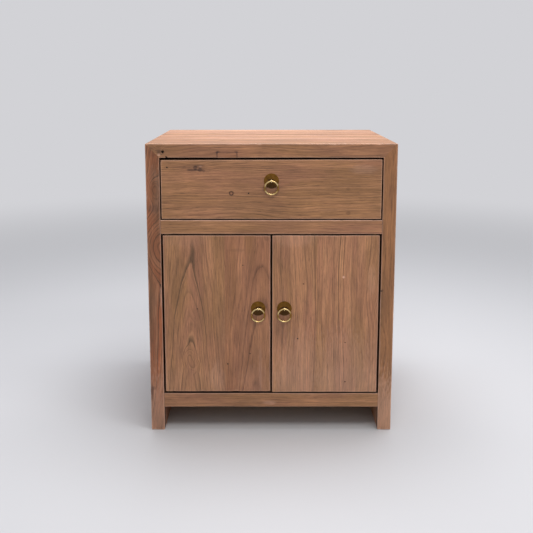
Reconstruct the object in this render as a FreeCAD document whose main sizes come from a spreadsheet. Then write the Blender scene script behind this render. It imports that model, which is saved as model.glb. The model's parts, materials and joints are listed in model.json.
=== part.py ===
"""Bedside cabinet in old elm: slab sides mitred to a slab top, one drawer, two doors, brass ring pulls.

The frame stands on its feet: +Z up, front towards -Y, millimetres. The origin is on the floor, in the
middle of the whole piece, ring pulls included. Every length is a named value of the sheet "sizes", and
places are formulas of those values.
"""
import FreeCAD, Part
import os
import re
import Sketcher

V = FreeCAD.Vector
UP = V(0, 0, 1)

SIZES = [
    ("width", 500, "overall, side to side"),
    ("depth", 400, "carcass, front to back"),
    ("height", 600, "overall"),
    ("slab", 28, "thickness of the top and side slabs"),
    ("front_board", 205, "width of the front board of each slab"),
    ("middle_board", 95, "width of the middle board of each slab"),
    ("corner_round", 2.6, "radius along the outer corner of top and side"),
    ("arris", 1.6, "radius of the eased edges of the slabs"),
    ("fine_arris", 1.2, "radius of the eased edges of rails, doors and drawer"),
    ("spline_wide", 20, "mitre spline, across the joint"),
    ("spline_thick", 4, "mitre spline"),
    ("spline_inset", 15, "mitre spline, from the slab's front and back"),
    ("foot_clear", 51, "floor to the underside of the bottom rail"),
    ("bottom_rail_high", 30, "bottom rail"),
    ("bottom_rail_deep", 30, "bottom rail, front to back"),
    ("middle_rail_high", 29, "rail between drawer and doors"),
    ("middle_rail_deep", 45, "rail between drawer and doors, front to back"),
    ("back_rail_deep", 20, "both back rails, front to back"),
    ("tenon_long", 15, "rail tenons"),
    ("tenon_shoulder", 4, "how far a tenon stands in from its rail's faces"),
    ("back_thick", 10, "back boards"),
    ("back_rebate", 10, "how far the back boards reach into the slabs"),
    ("back_gap", 1, "room for the back boards in their rebate"),
    ("back_bevel", 1.5, "bevel along the back boards' long edges"),
    ("back_screw_inset", 32, "screws of a back board, from its long edges"),
    ("back_screw_drop", 5, "upper row of back screws, below the top slab's underside"),
    ("floor_thick", 12, "cupboard floor"),
    ("floor_gap", 0.4, "room for the floor boards between the slabs"),
    ("floor_front_board", 190, "width of the front floor board"),
    ("cleat_wide", 18, "floor cleats"),
    ("drawer_space", 125, "height of the drawer's opening"),
    ("drawer_gap_side", 2, "drawer to each slab"),
    ("drawer_gap_below", 2, "drawer to the rail below"),
    ("drawer_gap_above", 3, "drawer to the top slab"),
    ("drawer_front_thick", 20, "drawer front"),
    ("drawer_side_thick", 12, "drawer sides and back"),
    ("drawer_side_high", 112, "drawer sides"),
    ("drawer_back_room", 35, "drawer to the back boards"),
    ("drawer_bottom_thick", 6, "drawer bottom"),
    ("drawer_bottom_up", 10, "drawer bottom above the sides' lower edge"),
    ("drawer_back_drop", 6, "drawer back below the sides' top edge"),
    ("groove_deep", 6, "grooves for the drawer bottom"),
    ("groove_gap", 0.4, "drawer bottom to the foot of its grooves"),
    ("front_lap", 6, "wood left in front of the dovetails"),
    ("tail_wide", 27, "dovetails, at their wide end"),
    ("tail_flare", 2, "how much a dovetail narrows on each side"),
    ("front_tails", 3, "dovetails at the drawer front, each side"),
    ("back_tails", 2, "dovetails at the drawer back, each side"),
    ("runner_wide", 20, "drawer runners"),
    ("runner_high", 20, "drawer runners"),
    ("runner_gap", 0.3, "drawer to its runners and stops"),
    ("stop_long", 20, "drawer stops, front to back"),
    ("stop_high", 12, "drawer stops"),
    ("side_screw_inset", 40, "outer screws of runners and cleats, from their ends"),
    ("bottom_screw_spread", 150, "outer screws of the drawer bottom, from the middle"),
    ("plug_across", 8, "plug in the drawer front, diameter"),
    ("plug_deep", 8, "plug in the drawer front"),
    ("plug_gap", 0.25, "glue line round plug and patch"),
    ("plug_left", 80, "plug, left of the middle"),
    ("plug_up", 52, "plug, above the drawer's lower edge"),
    ("patch_long", 37, "patch in the top slab's front edge"),
    ("patch_high", 10, "patch in the top slab's front edge"),
    ("patch_deep", 6, "patch in the top slab's front edge"),
    ("patch_left", 88, "middle of the patch, left of the middle"),
    ("door_thick", 20, "doors"),
    ("door_side_gap", 3.5, "door to slab"),
    ("door_centre_gap", 3.5, "door to door"),
    ("door_end_gap", 2.5, "door to the rails above and below"),
    ("left_outer_board", 124, "width of the left door's outer board"),
    ("right_outer_board", 126, "width of the right door's outer board"),
    ("batten_high", 30, "door battens"),
    ("batten_thick", 14, "door battens"),
    ("batten_inset", 22, "door battens, from the door's side edges"),
    ("batten_from_end", 45, "door battens, from the door's ends"),
    ("pivot_inset", 9, "pivot line, from the door's outer edge"),
    ("pivot_setback", 8, "pivot line, behind the door's face"),
    ("pivot_radius", 3, "pivot pins"),
    ("pivot_in_door", 14, "pivot pins, inside the door"),
    ("pivot_in_rail", 8, "pivot pins, inside the rail"),
    ("pivot_bevel", 0.6, "bevel round the lower and upper ends of the pivot pins"),
    ("pivot_play", 0.05, "pivot pin to bush"),
    ("bush_radius", 4.5, "bushes, outside"),
    ("bush_long", 10, "bushes, inside the rail"),
    ("flange_radius", 5.5, "flange of each bush"),
    ("flange_gap", 0.3, "flange to door"),
    ("catch_long", 62, "magnetic catch"),
    ("catch_deep", 14, "magnetic catch, front to back"),
    ("catch_high", 14, "magnetic catch"),
    ("catch_screw_inset", 4.5, "screws of the catch, from its ends"),
    ("magnet_long", 14, "magnets"),
    ("magnet_deep", 8, "magnets, front to back"),
    ("magnet_high", 8, "magnets"),
    ("magnet_out", 0.7, "how far the magnets stand out of the catch"),
    ("magnet_spread", 13, "magnets and strikes, from the middle"),
    ("magnet_drop", 8, "middle of the magnets, below the middle rail"),
    ("strike_radius", 7, "strike studs"),
    ("strike_thick", 1.2, "strike studs, head"),
    ("strike_shank", 1.5, "strike studs, shank radius"),
    ("strike_long", 10, "strike studs, shank"),
    ("strike_gap", 0.3, "strike to magnet"),
    ("strike_drop", 7.6, "middle of the strikes, below the door's top"),
    ("drawer_pull_up", 77, "drawer pull's eye, above the drawer's lower edge"),
    ("door_pull_up", 180, "door pulls' eyes, above the door's lower edge"),
    ("door_pull_inset", 25, "door pulls, from the door's free edge"),
    ("plate_radius", 15, "pull plates"),
    ("plate_thick", 1.5, "pull plates, at the middle of their dome"),
    ("plate_rim", 0.7, "pull plates, at the rim"),
    ("pin_hole", 2.3, "hole for the split pin, radius"),
    ("pin_wire", 1.8, "split pins, wire diameter"),
    ("leg_split", 0.1, "between the two legs of a split pin"),
    ("leg_bend", 1.5, "bend where the legs turn out, radius"),
    ("leg_end", 8, "turned-out ends of the legs"),
    ("leg_gap", 0.3, "turned-out legs to the wood"),
    ("eye_stand", 5, "middle of the eye, in front of the face"),
    ("eye_radius", 2, "inside of the eye"),
    ("neck_bend", 1.2, "bend from the eye to the legs, radius"),
    ("ring_radius", 13.3, "pull rings, to the middle of the wire"),
    ("ring_wire", 3.4, "pull rings, wire diameter"),
    ("screw_shank", 1.75, "wood screws, radius"),
    ("screw_head", 3.5, "wood screws, head radius"),
    ("small_shank", 1.3, "small screws, radius"),
    ("small_head", 2.6, "small screws, head radius"),
    ("back_screw_long", 26, "screws of the back boards"),
    ("side_screw_long", 38, "screws of runners and cleats"),
    ("batten_screw_long", 26, "screws of the door battens"),
    ("bottom_screw_long", 20, "screws of the drawer bottom"),
    ("catch_screw_long", 26, "screws of the catch"),
    ("slot_wide", 0.8, "cross slots in the screw heads"),
    ("slot_deep", 1.1, "cross slots in the screw heads"),
    ("slot_rim", 1.2, "metal left between a cross slot's end and the head's rim"),
]

PLACES = {
    "eye_mid": "eye_radius + pin_wire / 2",
    "pull_reach": "eye_stand + eye_radius + pin_wire",
    "front": "(pull_reach - depth) / 2",
    "back": "(pull_reach + depth) / 2",
    "inner": "width / 2 - slab",
    "under_top": "height - slab",
    "mitre_mid": "corner_round - corner_round * sqrt(0.5)",
    "first_joint": "front + front_board",
    "second_joint": "front + front_board + middle_board",
    "bottom_rail_top": "foot_clear + bottom_rail_high",
    "floor_under": "foot_clear + bottom_rail_high - floor_thick",
    "rail_top": "height - slab - drawer_space",
    "rail_under": "height - slab - drawer_space - middle_rail_high",
    "panel_front": "back - back_thick",
    "back_rail_front": "back - back_thick - back_rail_deep",
    "panel_half": "width / 2 - slab + back_rebate - back_gap",
    "panel_top": "height - slab + back_rebate - back_gap",
    "drawer_half": "width / 2 - slab - drawer_gap_side",
    "drawer_under": "height - slab - drawer_space + drawer_gap_below",
    "drawer_top": "height - slab - drawer_gap_above",
    "drawer_front_back": "front + drawer_front_thick",
    "drawer_end": "panel_front - drawer_back_room",
    "side_top": "drawer_under + drawer_side_high",
    "panel_under": "drawer_under + drawer_bottom_up",
    "panel_over": "drawer_under + drawer_bottom_up + drawer_bottom_thick",
    "drawer_back_top": "drawer_under + drawer_side_high - drawer_back_drop",
    "runner_top": "drawer_under - runner_gap",
    "door_edge": "width / 2 - slab - door_side_gap",
    "door_free": "door_centre_gap / 2",
    "door_under": "foot_clear + bottom_rail_high + door_end_gap",
    "door_top": "rail_under - door_end_gap",
    "door_rear": "front + door_thick",
    "pivot_out": "door_edge - pivot_inset",
    "pivot_back": "front + pivot_setback",
    "magnet_front": "front + door_thick + strike_thick + strike_gap",
    "catch_front": "magnet_front + magnet_out",
    "leg_off": "(pin_wire + leg_split) / 2",
    "neck_reach": "sqrt((eye_mid + neck_bend)^2 - (leg_off + neck_bend)^2)",
    "neck_share": "eye_mid / (eye_mid + neck_bend)",
    "dome_centre": "(plate_radius^2 + plate_rim^2 - pin_hole^2 - plate_thick^2)"
                   " / (2 * (plate_thick - plate_rim))",
}

ALIASES = {alias for alias, value, meaning in SIZES}
TOLERANCE = 0.001
SIDES = {"left": -1, "right": 1}

doc = FreeCAD.newDocument("bedside_cabinet")
sheet = doc.addObject("Spreadsheet::Sheet", "sizes")
for row, (alias, value, meaning) in enumerate(SIZES, 1):
    sheet.set(f"A{row}", meaning)
    sheet.set(f"B{row}", str(value))
    sheet.setAlias(f"B{row}", alias)
doc.recompute()

nodes = {}


def bind(text):
    """A formula of plain names, with each name turned into the sheet's cell."""
    def cell(match):
        word = match.group(0)
        if word in PLACES:
            return "(" + bind(PLACES[word]) + ")"
        return "sizes." + word if word in ALIASES else word
    return re.sub(r"[a-z][a-z_]*", cell, text)


def size(text):
    """The number that a formula gives now."""
    return float(sheet.evalExpression(bind(text)))


def keep(piece, name):
    """Name a finished sub-part."""
    piece.Label = name
    nodes[name] = piece
    return piece


def rect(low_u, high_u, low_v, high_v):
    """A rectangle's four corners, as formulas."""
    return [(low_u, low_v), (high_u, low_v), (high_u, high_v), (low_u, high_v)]


def draw(body, plane, loops, start="0", closed=True):
    """A bound sketch parallel to an origin plane, at start along that plane's axis.

    A loop is a list of points. A point (u, v) starts a straight edge, and a point (u, v, cu, cv) starts
    an arc about (cu, cv) of less than half a turn. A loop (u, v, radius) is a circle.
    """
    sketch = body.newObject("Sketcher::SketchObject", "outline")
    origin = [f for f in body.Origin.OriginFeatures if f.Role == plane + "_Plane"][0]
    sketch.AttachmentSupport = [(origin, "")]
    sketch.MapMode = "FlatFace"
    side = "-" if plane == "XZ" else ""
    sketch.setExpression("AttachmentOffset.Base.z", f"{side}({bind(start)})")

    def hold(kind, geometry, end, text):
        number = sketch.addConstraint(Sketcher.Constraint(kind, -1, 1, geometry, end, size(text)))
        sketch.setExpression(f"Constraints[{number}]", bind(text))

    for loop in loops:
        if isinstance(loop, tuple):
            u, v, radius = loop
            circle = Part.Circle(V(size(u), size(v), 0), UP, size(radius))
            number = sketch.addGeometry(circle, False)
            hold("DistanceX", number, 3, u)
            hold("DistanceY", number, 3, v)
            held = sketch.addConstraint(Sketcher.Constraint("Radius", number, size(radius)))
            sketch.setExpression(f"Constraints[{held}]", bind(radius))
            continue
        spots = [V(size(point[0]), size(point[1]), 0) for point in loop]
        count = len(loop)
        edges = []
        for i in range(count if closed else count - 1):
            first, last = spots[i], spots[(i + 1) % count]
            if len(loop[i]) == 2:
                number = sketch.addGeometry(Part.LineSegment(first, last), False)
                edges.append((number, 1, 2))
                continue
            centre = V(size(loop[i][2]), size(loop[i][3]), 0)
            forward = (first - centre).cross(last - centre).z > 0
            start, end = (first, last) if forward else (last, first)
            circle = Part.Circle(centre, UP, (first - centre).Length)
            arc = Part.ArcOfCircle(circle, circle.parameter(start), circle.parameter(end))
            number = sketch.addGeometry(arc, False)
            edges.append((number, 1, 2) if forward else (number, 2, 1))
            hold("DistanceX", number, 3, loop[i][2])
        for i, (number, head, tail) in enumerate(edges):
            hold("DistanceX", number, head, loop[i][0])
            hold("DistanceY", number, head, loop[i][1])
            if closed or i + 1 < len(edges):
                after, after_head, _ = edges[(i + 1) % len(edges)]
                sketch.addConstraint(Sketcher.Constraint("Coincident", number, tail, after, after_head))
            else:
                hold("DistanceX", number, tail, loop[-1][0])
                hold("DistanceY", number, tail, loop[-1][1])
    return sketch


def pad(body, plane, loops, start, length):
    """Add a prism that runs from start along the plane's axis."""
    feature_sketch = draw(body, plane, loops, start)
    feature = body.newObject("PartDesign::Pad", "pad")
    feature.Profile = feature_sketch
    feature.Reversed = plane == "XZ"
    feature.setExpression("Length", bind(length))
    doc.recompute()


def pocket(body, plane, loops, start, length):
    """Cut a prism that runs from start along the plane's axis."""
    before = body.Shape.Volume
    feature_sketch = draw(body, plane, loops, start)
    feature = body.newObject("PartDesign::Pocket", "pocket")
    feature.Profile = feature_sketch
    feature.Reversed = plane != "XZ"
    feature.setExpression("Length", bind(length))
    doc.recompute()
    if body.Shape.Volume > before - TOLERANCE:
        raise ValueError(f"{body.Label}: a pocket cuts nothing")


def block(name, low_x, high_x, low_y, high_y, low_z, high_z):
    """A plain board as a body of its own."""
    body = doc.addObject("PartDesign::Body", name)
    pad(body, "XZ", [rect(low_x, high_x, low_z, high_z)], low_y, f"({high_y}) - ({low_y})")
    return body


def lies(edge, places):
    """Whether an edge lies in every plane given, such as {"y": "front"}."""
    box = edge.BoundBox
    spans = {"x": (box.XMin, box.XMax), "y": (box.YMin, box.YMax), "z": (box.ZMin, box.ZMax)}
    for axis, text in places.items():
        low, high = spans[axis]
        if abs(low - size(text)) > TOLERANCE or abs(high - size(text)) > TOLERANCE:
            return False
    return True


def slants(edge):
    """Whether a straight edge runs along no axis, as the edge of a mitre does."""
    if edge.Curve.TypeId != "Part::GeomLine":
        return False
    run = edge.Vertexes[-1].Point - edge.Vertexes[0].Point
    return max(abs(run.x), abs(run.y), abs(run.z)) < run.Length - TOLERANCE


def ease(body, radius, chosen, left_sharp=()):
    """Round the edges that lie in the chosen planes, apart from glue lines."""
    names = []
    for number, edge in enumerate(body.Shape.Edges, 1):
        wanted = any(lies(edge, places) for places in chosen)
        if wanted and not slants(edge) and not any(lies(edge, places) for places in left_sharp):
            names.append(f"Edge{number}")
    base = body.Tip
    feature = body.newObject("PartDesign::Fillet", "eased")
    feature.Base = (base, names)
    feature.setExpression("Radius", bind(radius))
    doc.recompute()


def group(name, pieces):
    """Several alike pieces as one named group of separate solids."""
    compound = doc.addObject("Part::Compound", name)
    compound.Links = pieces
    return keep(compound, name)


def let_in(blank, name, mates):
    """The blank with a seat cut for each piece that is let into it."""
    tools = doc.addObject("Part::Compound", name + "_mates")
    tools.Links = mates
    piece = doc.addObject("Part::Cut", name)
    piece.Base = blank
    piece.Tool = tools
    doc.recompute()
    return keep(piece, name)


def turned(profile):
    """A solid of revolution about Z from (radius, height) points, as sheet numbers."""
    wire = Part.makePolygon([V(radius, 0, height) for radius, height in profile + profile[:1]])
    return Part.Face(wire).revolve(V(0, 0, 0), UP, 360)


def placed(shape, spot, along):
    """A copy of a shape made along +Z, set at a spot and pointed along a direction."""
    copy = shape.copy()
    copy.Placement = FreeCAD.Placement(V(*spot), FreeCAD.Rotation(UP, V(*along)))
    return copy


def screws(name, shank, head, long, spots):
    """Countersunk screws with their heads at the spots. The second result has no cross slots."""
    shank, head, long = size(shank), size(head), size(long)
    point = 2 * shank
    plain = turned([(0, 0), (head, 0), (shank, head - shank), (shank, long - point), (0, long)])
    half, deep, reach = size("slot_wide / 2"), size("slot_deep"), head - size("slot_rim")
    slotted = plain
    for across, along in ((half, reach), (reach, half)):
        slotted = slotted.cut(Part.makeBox(2 * across, 2 * along, deep, V(-across, -along, 0)))
    kept = doc.addObject("Part::Feature", name)
    kept.Shape = Part.makeCompound([placed(slotted, spot, along) for spot, along in spots])
    seat = doc.addObject("Part::Feature", name + "_seat")
    seat.Shape = Part.makeCompound([placed(plain, spot, along) for spot, along in spots])
    return keep(kept, name), seat


def rail(name, deep, low_y, low_z, high_z):
    """A rail between the slabs with a tenon at each end."""
    body = block(name, "-(inner)", "inner", low_y, f"{low_y} + {deep}", low_z, high_z)
    reach = "(inner + tenon_long)"
    tenon = rect(f"-{reach}", reach, f"{low_z} + tenon_shoulder", f"{high_z} - tenon_shoulder")
    pad(body, "XZ", [tenon], f"{low_y} + tenon_shoulder", f"{deep} - 2 * tenon_shoulder")
    return body


def mitre_spline(side):
    """A flat strip across the mitre, seen from the front as a slanting rectangle."""
    root = "sqrt(0.5)"
    corners = []
    for across, along in ((1, 1), (1, -1), (-1, -1), (-1, 1)):
        reach = f"{root} * ({across} * spline_wide + ({along}) * spline_thick) / 2"
        climb = f"{root} * ({-across} * spline_wide + ({along}) * spline_thick) / 2"
        corners.append((f"{side} * (width / 2 - slab / 2 + {reach})", f"height - slab / 2 + {climb}"))
    body = doc.addObject("PartDesign::Body", "spline")
    pad(body, "XZ", [corners], "front + spline_inset", "depth - 2 * spline_inset")
    return body


def mitre_tip(side):
    """Where the rounded outer corner meets the mitre, and the centre of that rounding."""
    tip = (f"{side} * (width / 2 - mitre_mid)", "height - mitre_mid")
    centre = (f"{side} * (width / 2 - corner_round)", "height - corner_round")
    return tip, centre


def top_outline():
    right_tip, right_centre = mitre_tip(1)
    left_tip, left_centre = mitre_tip(-1)
    return [
        ("-(width / 2 - corner_round)", "height"),
        ("width / 2 - corner_round", "height", *right_centre),
        right_tip,
        ("inner", "under_top"),
        ("-(inner)", "under_top"),
        (*left_tip, *left_centre),
    ]


def side_outline(side):
    tip, centre = mitre_tip(side)
    return [
        (f"{side} * width / 2", "0"),
        (f"{side} * (inner)", "0"),
        (f"{side} * (inner)", "under_top"),
        (*tip, *centre),
        (f"{side} * width / 2", "height - corner_round"),
    ]


BOARDS = {
    "front": ("front", "first_joint"),
    "middle": ("first_joint", "second_joint"),
    "back": ("second_joint", "back"),
}


def slab_board(name, outline, which, mates, bottom_end):
    """One board of a slab, with its eased edges, its share of the back rebate and its joints."""
    low, high = BOARDS[which]
    body = doc.addObject("PartDesign::Body", name + "_blank")
    pad(body, "XZ", [outline], low, f"{high} - ({low})")
    if which == "back":
        reach = "(inner + back_rebate)"
        rebate = rect(f"-{reach}", reach, "foot_clear", "under_top + back_rebate")
        pocket(body, "XZ", [rebate], "panel_front", "back_thick")
    eased = [{"z": "0"}] if bottom_end else []
    glued = [{"y": "first_joint"}, {"y": "second_joint"}]
    if which == "front":
        eased.append({"y": "front"})
    if which == "back":
        for outer in ("width / 2", "-width / 2"):
            eased.append({"y": "back", "x": outer})
        eased.append({"y": "back", "z": "height"})
    if eased:
        ease(body, "arris", eased, glued)
    return let_in(body, name, mates)


def back_board(number, screws_seat):
    """One of three upright boards of the back, with beveled long edges."""
    names = ("left", "middle", "right")
    step = "(2 * panel_half / 3)"
    low = f"-(panel_half) + {number} * {step}"
    high = f"-(panel_half) + {number + 1} * {step}"
    body = doc.addObject("PartDesign::Body", f"back_board_{names[number]}_blank")
    corners = [
        (low, "panel_front"),
        (high, "panel_front"),
        (high, "back - back_bevel"),
        (f"{high} - back_bevel", "back"),
        (f"{low} + back_bevel", "back"),
        (low, "back - back_bevel"),
    ]
    pad(body, "XY", [corners], "foot_clear + back_gap", "panel_top - foot_clear - back_gap")
    let_in(body, f"back_board_{names[number]}", [screws_seat])


def back_screw_spots():
    """Three rows of screws: into the top slab's rebate, the middle rail and the bottom rail."""
    rows = (
        "under_top + back_screw_drop",
        "rail_top - middle_rail_high / 2",
        "(foot_clear + floor_under) / 2",
    )
    spots = []
    for number in range(3):
        for edge in (f"{number} * 2 * panel_half / 3 + back_screw_inset",
                     f"{number + 1} * 2 * panel_half / 3 - back_screw_inset"):
            for row in rows:
                spots.append(((size(f"-(panel_half) + {edge}"), size("back"), size(row)), (0, -1, 0)))
    return spots


def side_screw_spots():
    """Screws through runners and cleats into the slabs, three for each."""
    spots = []
    high = "back_rail_front"
    for side in SIDES.values():
        for wide, low, level in (
                ("runner_wide", "front + middle_rail_deep", "runner_top - runner_high / 2"),
                ("cleat_wide", "front + bottom_rail_deep", "(foot_clear + floor_under) / 2")):
            face = side * size(f"inner - {wide}")
            for y in (f"{low} + side_screw_inset", f"({low} + {high}) / 2", f"{high} - side_screw_inset"):
                spots.append(((face, size(y), size(level)), (side, 0, 0)))
    return spots


def bush():
    """A flanged brass bush, its flange's outer face at height 0 and its tube going down."""
    bore = size("pivot_radius + pivot_play")
    flange = size("door_end_gap - flange_gap")
    tube = size("bush_radius")
    rim = size("flange_radius")
    end = -flange - size("bush_long")
    return turned([(bore, 0), (rim, 0), (rim, -flange), (tube, -flange), (tube, end), (bore, end)])


def pivot_spots(side, gap):
    """The two ends of a door's pivot line, one gap away from the rails, each pointing into the door."""
    x = side * size("pivot_out")
    y = size("pivot_back")
    return [
        ((x, y, size(f"bottom_rail_top + {gap}")), (0, 0, 1)),
        ((x, y, size(f"rail_under - ({gap})")), (0, 0, -1)),
    ]


def pivot_bushes():
    """The four bushes. The second result has no bores, for the seats in the rails."""
    spots = [spot for side in SIDES.values() for spot in pivot_spots(side, "door_end_gap - flange_gap")]
    long = size("bush_long + door_end_gap - flange_gap")
    solid = Part.makeCylinder(size("bush_radius"), long, V(0, 0, -long))
    kept = doc.addObject("Part::Feature", "pivot_bushes")
    kept.Shape = Part.makeCompound([placed(bush(), *spot) for spot in spots])
    seat = doc.addObject("Part::Feature", "pivot_bushes_seat")
    seat.Shape = Part.makeCompound([placed(solid, *spot) for spot in spots])
    return keep(kept, "pivot_bushes"), seat


def pivot_pins(name, side):
    """A door's two pins, each from inside the door to inside the rail, with a small bevel at the end."""
    radius = size("pivot_radius")
    low = -size("door_end_gap + pivot_in_rail")
    high = size("pivot_in_door")
    bevel = size("pivot_bevel")
    pin = turned([(0, low), (radius - bevel, low), (radius, low + bevel), (radius, high), (0, high)])
    feature = doc.addObject("Part::Feature", name)
    feature.Shape = Part.makeCompound([placed(pin, *spot) for spot in pivot_spots(side, "door_end_gap")])
    return keep(feature, name)


def pull_plate(name, x, z):
    """A round plate with a low dome, turned about the line of its pin."""
    body = doc.addObject("PartDesign::Body", name)
    profile = draw(body, "YZ", [[
        ("0", "pin_hole"),
        ("0", "plate_radius"),
        ("-plate_rim", "plate_radius", "dome_centre", "0"),
        ("-plate_thick", "pin_hole"),
    ]])
    feature = body.newObject("PartDesign::Revolution", "dome")
    feature.Profile = profile
    feature.ReferenceAxis = (profile, ["H_Axis"])
    feature.Angle = 360
    return stand_at(body, name, x, z)


def split_pin(name, x, z, wood):
    """One wire: a leg, the eye and a leg, with the legs turned out behind the wood."""
    body = doc.addObject("PartDesign::Body", name)
    rear = f"({wood} + leg_gap + pin_wire / 2)"
    bend_top = "(leg_off + leg_bend)"
    end = "(leg_off + leg_bend + leg_end)"
    neck = "(neck_reach - eye_stand)"
    touch = "(neck_share * neck_reach - eye_stand)"
    touch_up = "(neck_share * (leg_off + neck_bend))"
    neck_up = "(leg_off + neck_bend)"
    path = draw(body, "YZ", [[
        (rear, end),
        (rear, bend_top, f"{rear} - leg_bend", bend_top),
        (f"{rear} - leg_bend", "leg_off"),
        (neck, "leg_off", neck, neck_up),
        (touch, touch_up, "-eye_stand", "0"),
        ("-eye_stand - eye_mid", "0", "-eye_stand", "0"),
        (touch, f"-{touch_up}", neck, f"-{neck_up}"),
        (neck, "-(leg_off)"),
        (f"{rear} - leg_bend", "-(leg_off)", f"{rear} - leg_bend", f"-{bend_top}"),
        (rear, f"-{bend_top}"),
        (rear, f"-{end}"),
    ]], closed=False)
    section = draw(body, "XY", [("0", rear, "pin_wire / 2")], end)
    doc.recompute()
    feature = body.newObject("PartDesign::AdditivePipe", "wire")
    feature.Profile = section
    feature.Spine = (path, [f"Edge{number}" for number in range(1, len(path.Geometry) + 1)])
    return stand_at(body, name, x, z)


def stand_at(piece, name, x, z):
    """Set a pull's piece on the front of the cabinet at (x, z)."""
    piece.setExpression("Placement.Base.x", bind(x))
    piece.setExpression("Placement.Base.y", bind("front"))
    piece.setExpression("Placement.Base.z", bind(z))
    doc.recompute()
    return keep(piece, name)


def pull_ring(name, x, z):
    """The ring, hanging with its wire in the middle of the eye."""
    ring = doc.addObject("Part::Torus", name)
    ring.setExpression("Radius1", bind("ring_radius"))
    ring.setExpression("Radius2", bind("ring_wire / 2"))
    ring.Placement.Rotation = FreeCAD.Rotation(V(1, 0, 0), 90)
    ring.setExpression("Placement.Base.x", bind(x))
    ring.setExpression("Placement.Base.y", bind("front - eye_stand"))
    ring.setExpression("Placement.Base.z", bind(f"{z} - ring_radius"))
    return keep(ring, name)


def pull(prefix, x, z, wood):
    """A pull's plate, split pin and ring."""
    pull_plate(f"{prefix}_pull_plate", x, z)
    split_pin(f"{prefix}_pull_pin", x, z, wood)
    pull_ring(f"{prefix}_pull_ring", x, z)


def carcass():
    """The slabs, rails, back, cupboard floor, runners and catch."""
    splines = group("mitre_splines", [mitre_spline(side) for side in SIDES.values()])
    middle = rail("middle_rail_blank", "middle_rail_deep", "front", "rail_under", "rail_top")
    ease(middle, "fine_arris", [{"y": "front"}], [{"x": "inner"}, {"x": "-(inner)"}])
    bottom = rail("bottom_rail_blank", "bottom_rail_deep", "front", "foot_clear", "bottom_rail_top")
    ease(bottom, "fine_arris", [{"y": "front"}], [{"x": "inner"}, {"x": "-(inner)"}])
    rear_middle = rail("back_middle_rail_blank", "back_rail_deep", "back_rail_front",
                       "rail_under", "rail_top")
    rear_bottom = rail("back_bottom_rail_blank", "back_rail_deep", "back_rail_front",
                       "foot_clear", "floor_under")

    _, bush_seat = pivot_bushes()
    _, back_seat = screws("back_screws", "screw_shank", "screw_head", "back_screw_long", back_screw_spots())
    _, side_seat = screws("side_screws", "screw_shank", "screw_head", "side_screw_long", side_screw_spots())
    catch_spots = [
        ((side * size("catch_long / 2 - catch_screw_inset"), size("catch_front + catch_deep / 2"),
          size("rail_under - catch_high")), (0, 0, 1))
        for side in SIDES.values()
    ]
    _, catch_seat = screws("catch_screws", "small_shank", "small_head", "catch_screw_long", catch_spots)

    middle_rail = let_in(middle, "middle_rail", [bush_seat, catch_seat])
    bottom_rail = let_in(bottom, "bottom_rail", [bush_seat])
    back_middle_rail = let_in(rear_middle, "back_middle_rail", [back_seat])
    back_bottom_rail = let_in(rear_bottom, "back_bottom_rail", [back_seat])

    patch_spots = ("-patch_left - patch_long / 2", "-patch_left + patch_long / 2",
                   "under_top", "under_top + patch_high")
    patch = block("top_edge_patch", patch_spots[0], patch_spots[1], "front", "front + patch_deep",
                  patch_spots[2], patch_spots[3])
    ease(patch, "fine_arris", [{"y": "front", "z": "under_top"}])
    keep(patch, "top_edge_patch")
    patch_seat = block("patch_seat", patch_spots[0] + " - plug_gap", patch_spots[1] + " + plug_gap",
                       "front", "front + patch_deep", patch_spots[2], patch_spots[3] + " + plug_gap")

    for which in BOARDS:
        mates = [splines]
        if which == "front":
            mates.append(patch_seat)
        if which == "back":
            mates.append(back_seat)
        slab_board(f"top_board_{which}", top_outline(), which, mates, False)
        for name, side in SIDES.items():
            mates = [splines, side_seat]
            if which == "front":
                mates += [middle_rail, bottom_rail]
            if which == "back":
                mates += [back_middle_rail, back_bottom_rail]
            slab_board(f"{name}_side_board_{which}", side_outline(side), which, mates, True)

    for number in range(3):
        back_board(number, back_seat)

    split = "front + bottom_rail_deep + floor_front_board"
    for name, low, high in (("front", "front + bottom_rail_deep", split), ("back", split, "panel_front")):
        board = block(f"floor_board_{name}", "-(inner) + floor_gap", "inner - floor_gap", low, high,
                      "floor_under", "bottom_rail_top")
        keep(board, f"floor_board_{name}")

    cleats = []
    stops = []
    for name, side in SIDES.items():
        cleats.append(block("cleat", f"{side} * (inner - cleat_wide)", f"{side} * (inner)",
                            "front + bottom_rail_deep", "back_rail_front", "foot_clear", "floor_under"))
        runner = block(f"drawer_runner_{name}_blank", f"{side} * (inner - runner_wide)",
                       f"{side} * (inner)", "front + middle_rail_deep", "back_rail_front",
                       "runner_top - runner_high", "runner_top")
        let_in(runner, f"drawer_runner_{name}", [side_seat])
        stops.append(block("stop", f"{side} * (inner - runner_wide)", f"{side} * (inner)",
                           "drawer_end + runner_gap", "drawer_end + runner_gap + stop_long",
                           "runner_top", "runner_top + stop_high"))
    group("drawer_stops", stops)
    blanks = doc.addObject("Part::Compound", "cleats")
    blanks.Links = cleats
    let_in(blanks, "floor_cleats", [side_seat])

    catch = block("catch_body_blank", "-catch_long / 2", "catch_long / 2", "catch_front",
                  "catch_front + catch_deep", "rail_under - catch_high", "rail_under")
    ease(catch, "fine_arris", [{"z": "rail_under - catch_high"}])
    magnets = []
    for side in SIDES.values():
        low = f"{side} * magnet_spread - magnet_long / 2"
        magnets.append(block("magnet", low, f"{low} + magnet_long", "magnet_front",
                             "magnet_front + magnet_deep", "rail_under - magnet_drop - magnet_high / 2",
                             "rail_under - magnet_drop + magnet_high / 2"))
    let_in(catch, "catch_body", [group("catch_magnets", magnets), catch_seat])


def tail_middles(count, low, high):
    """The middles of the dovetails that share out a height."""
    share = f"(({high}) - ({low})) / {count}"
    return [f"{low} + {number + 0.5} * {share}" for number in range(count)]


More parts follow.
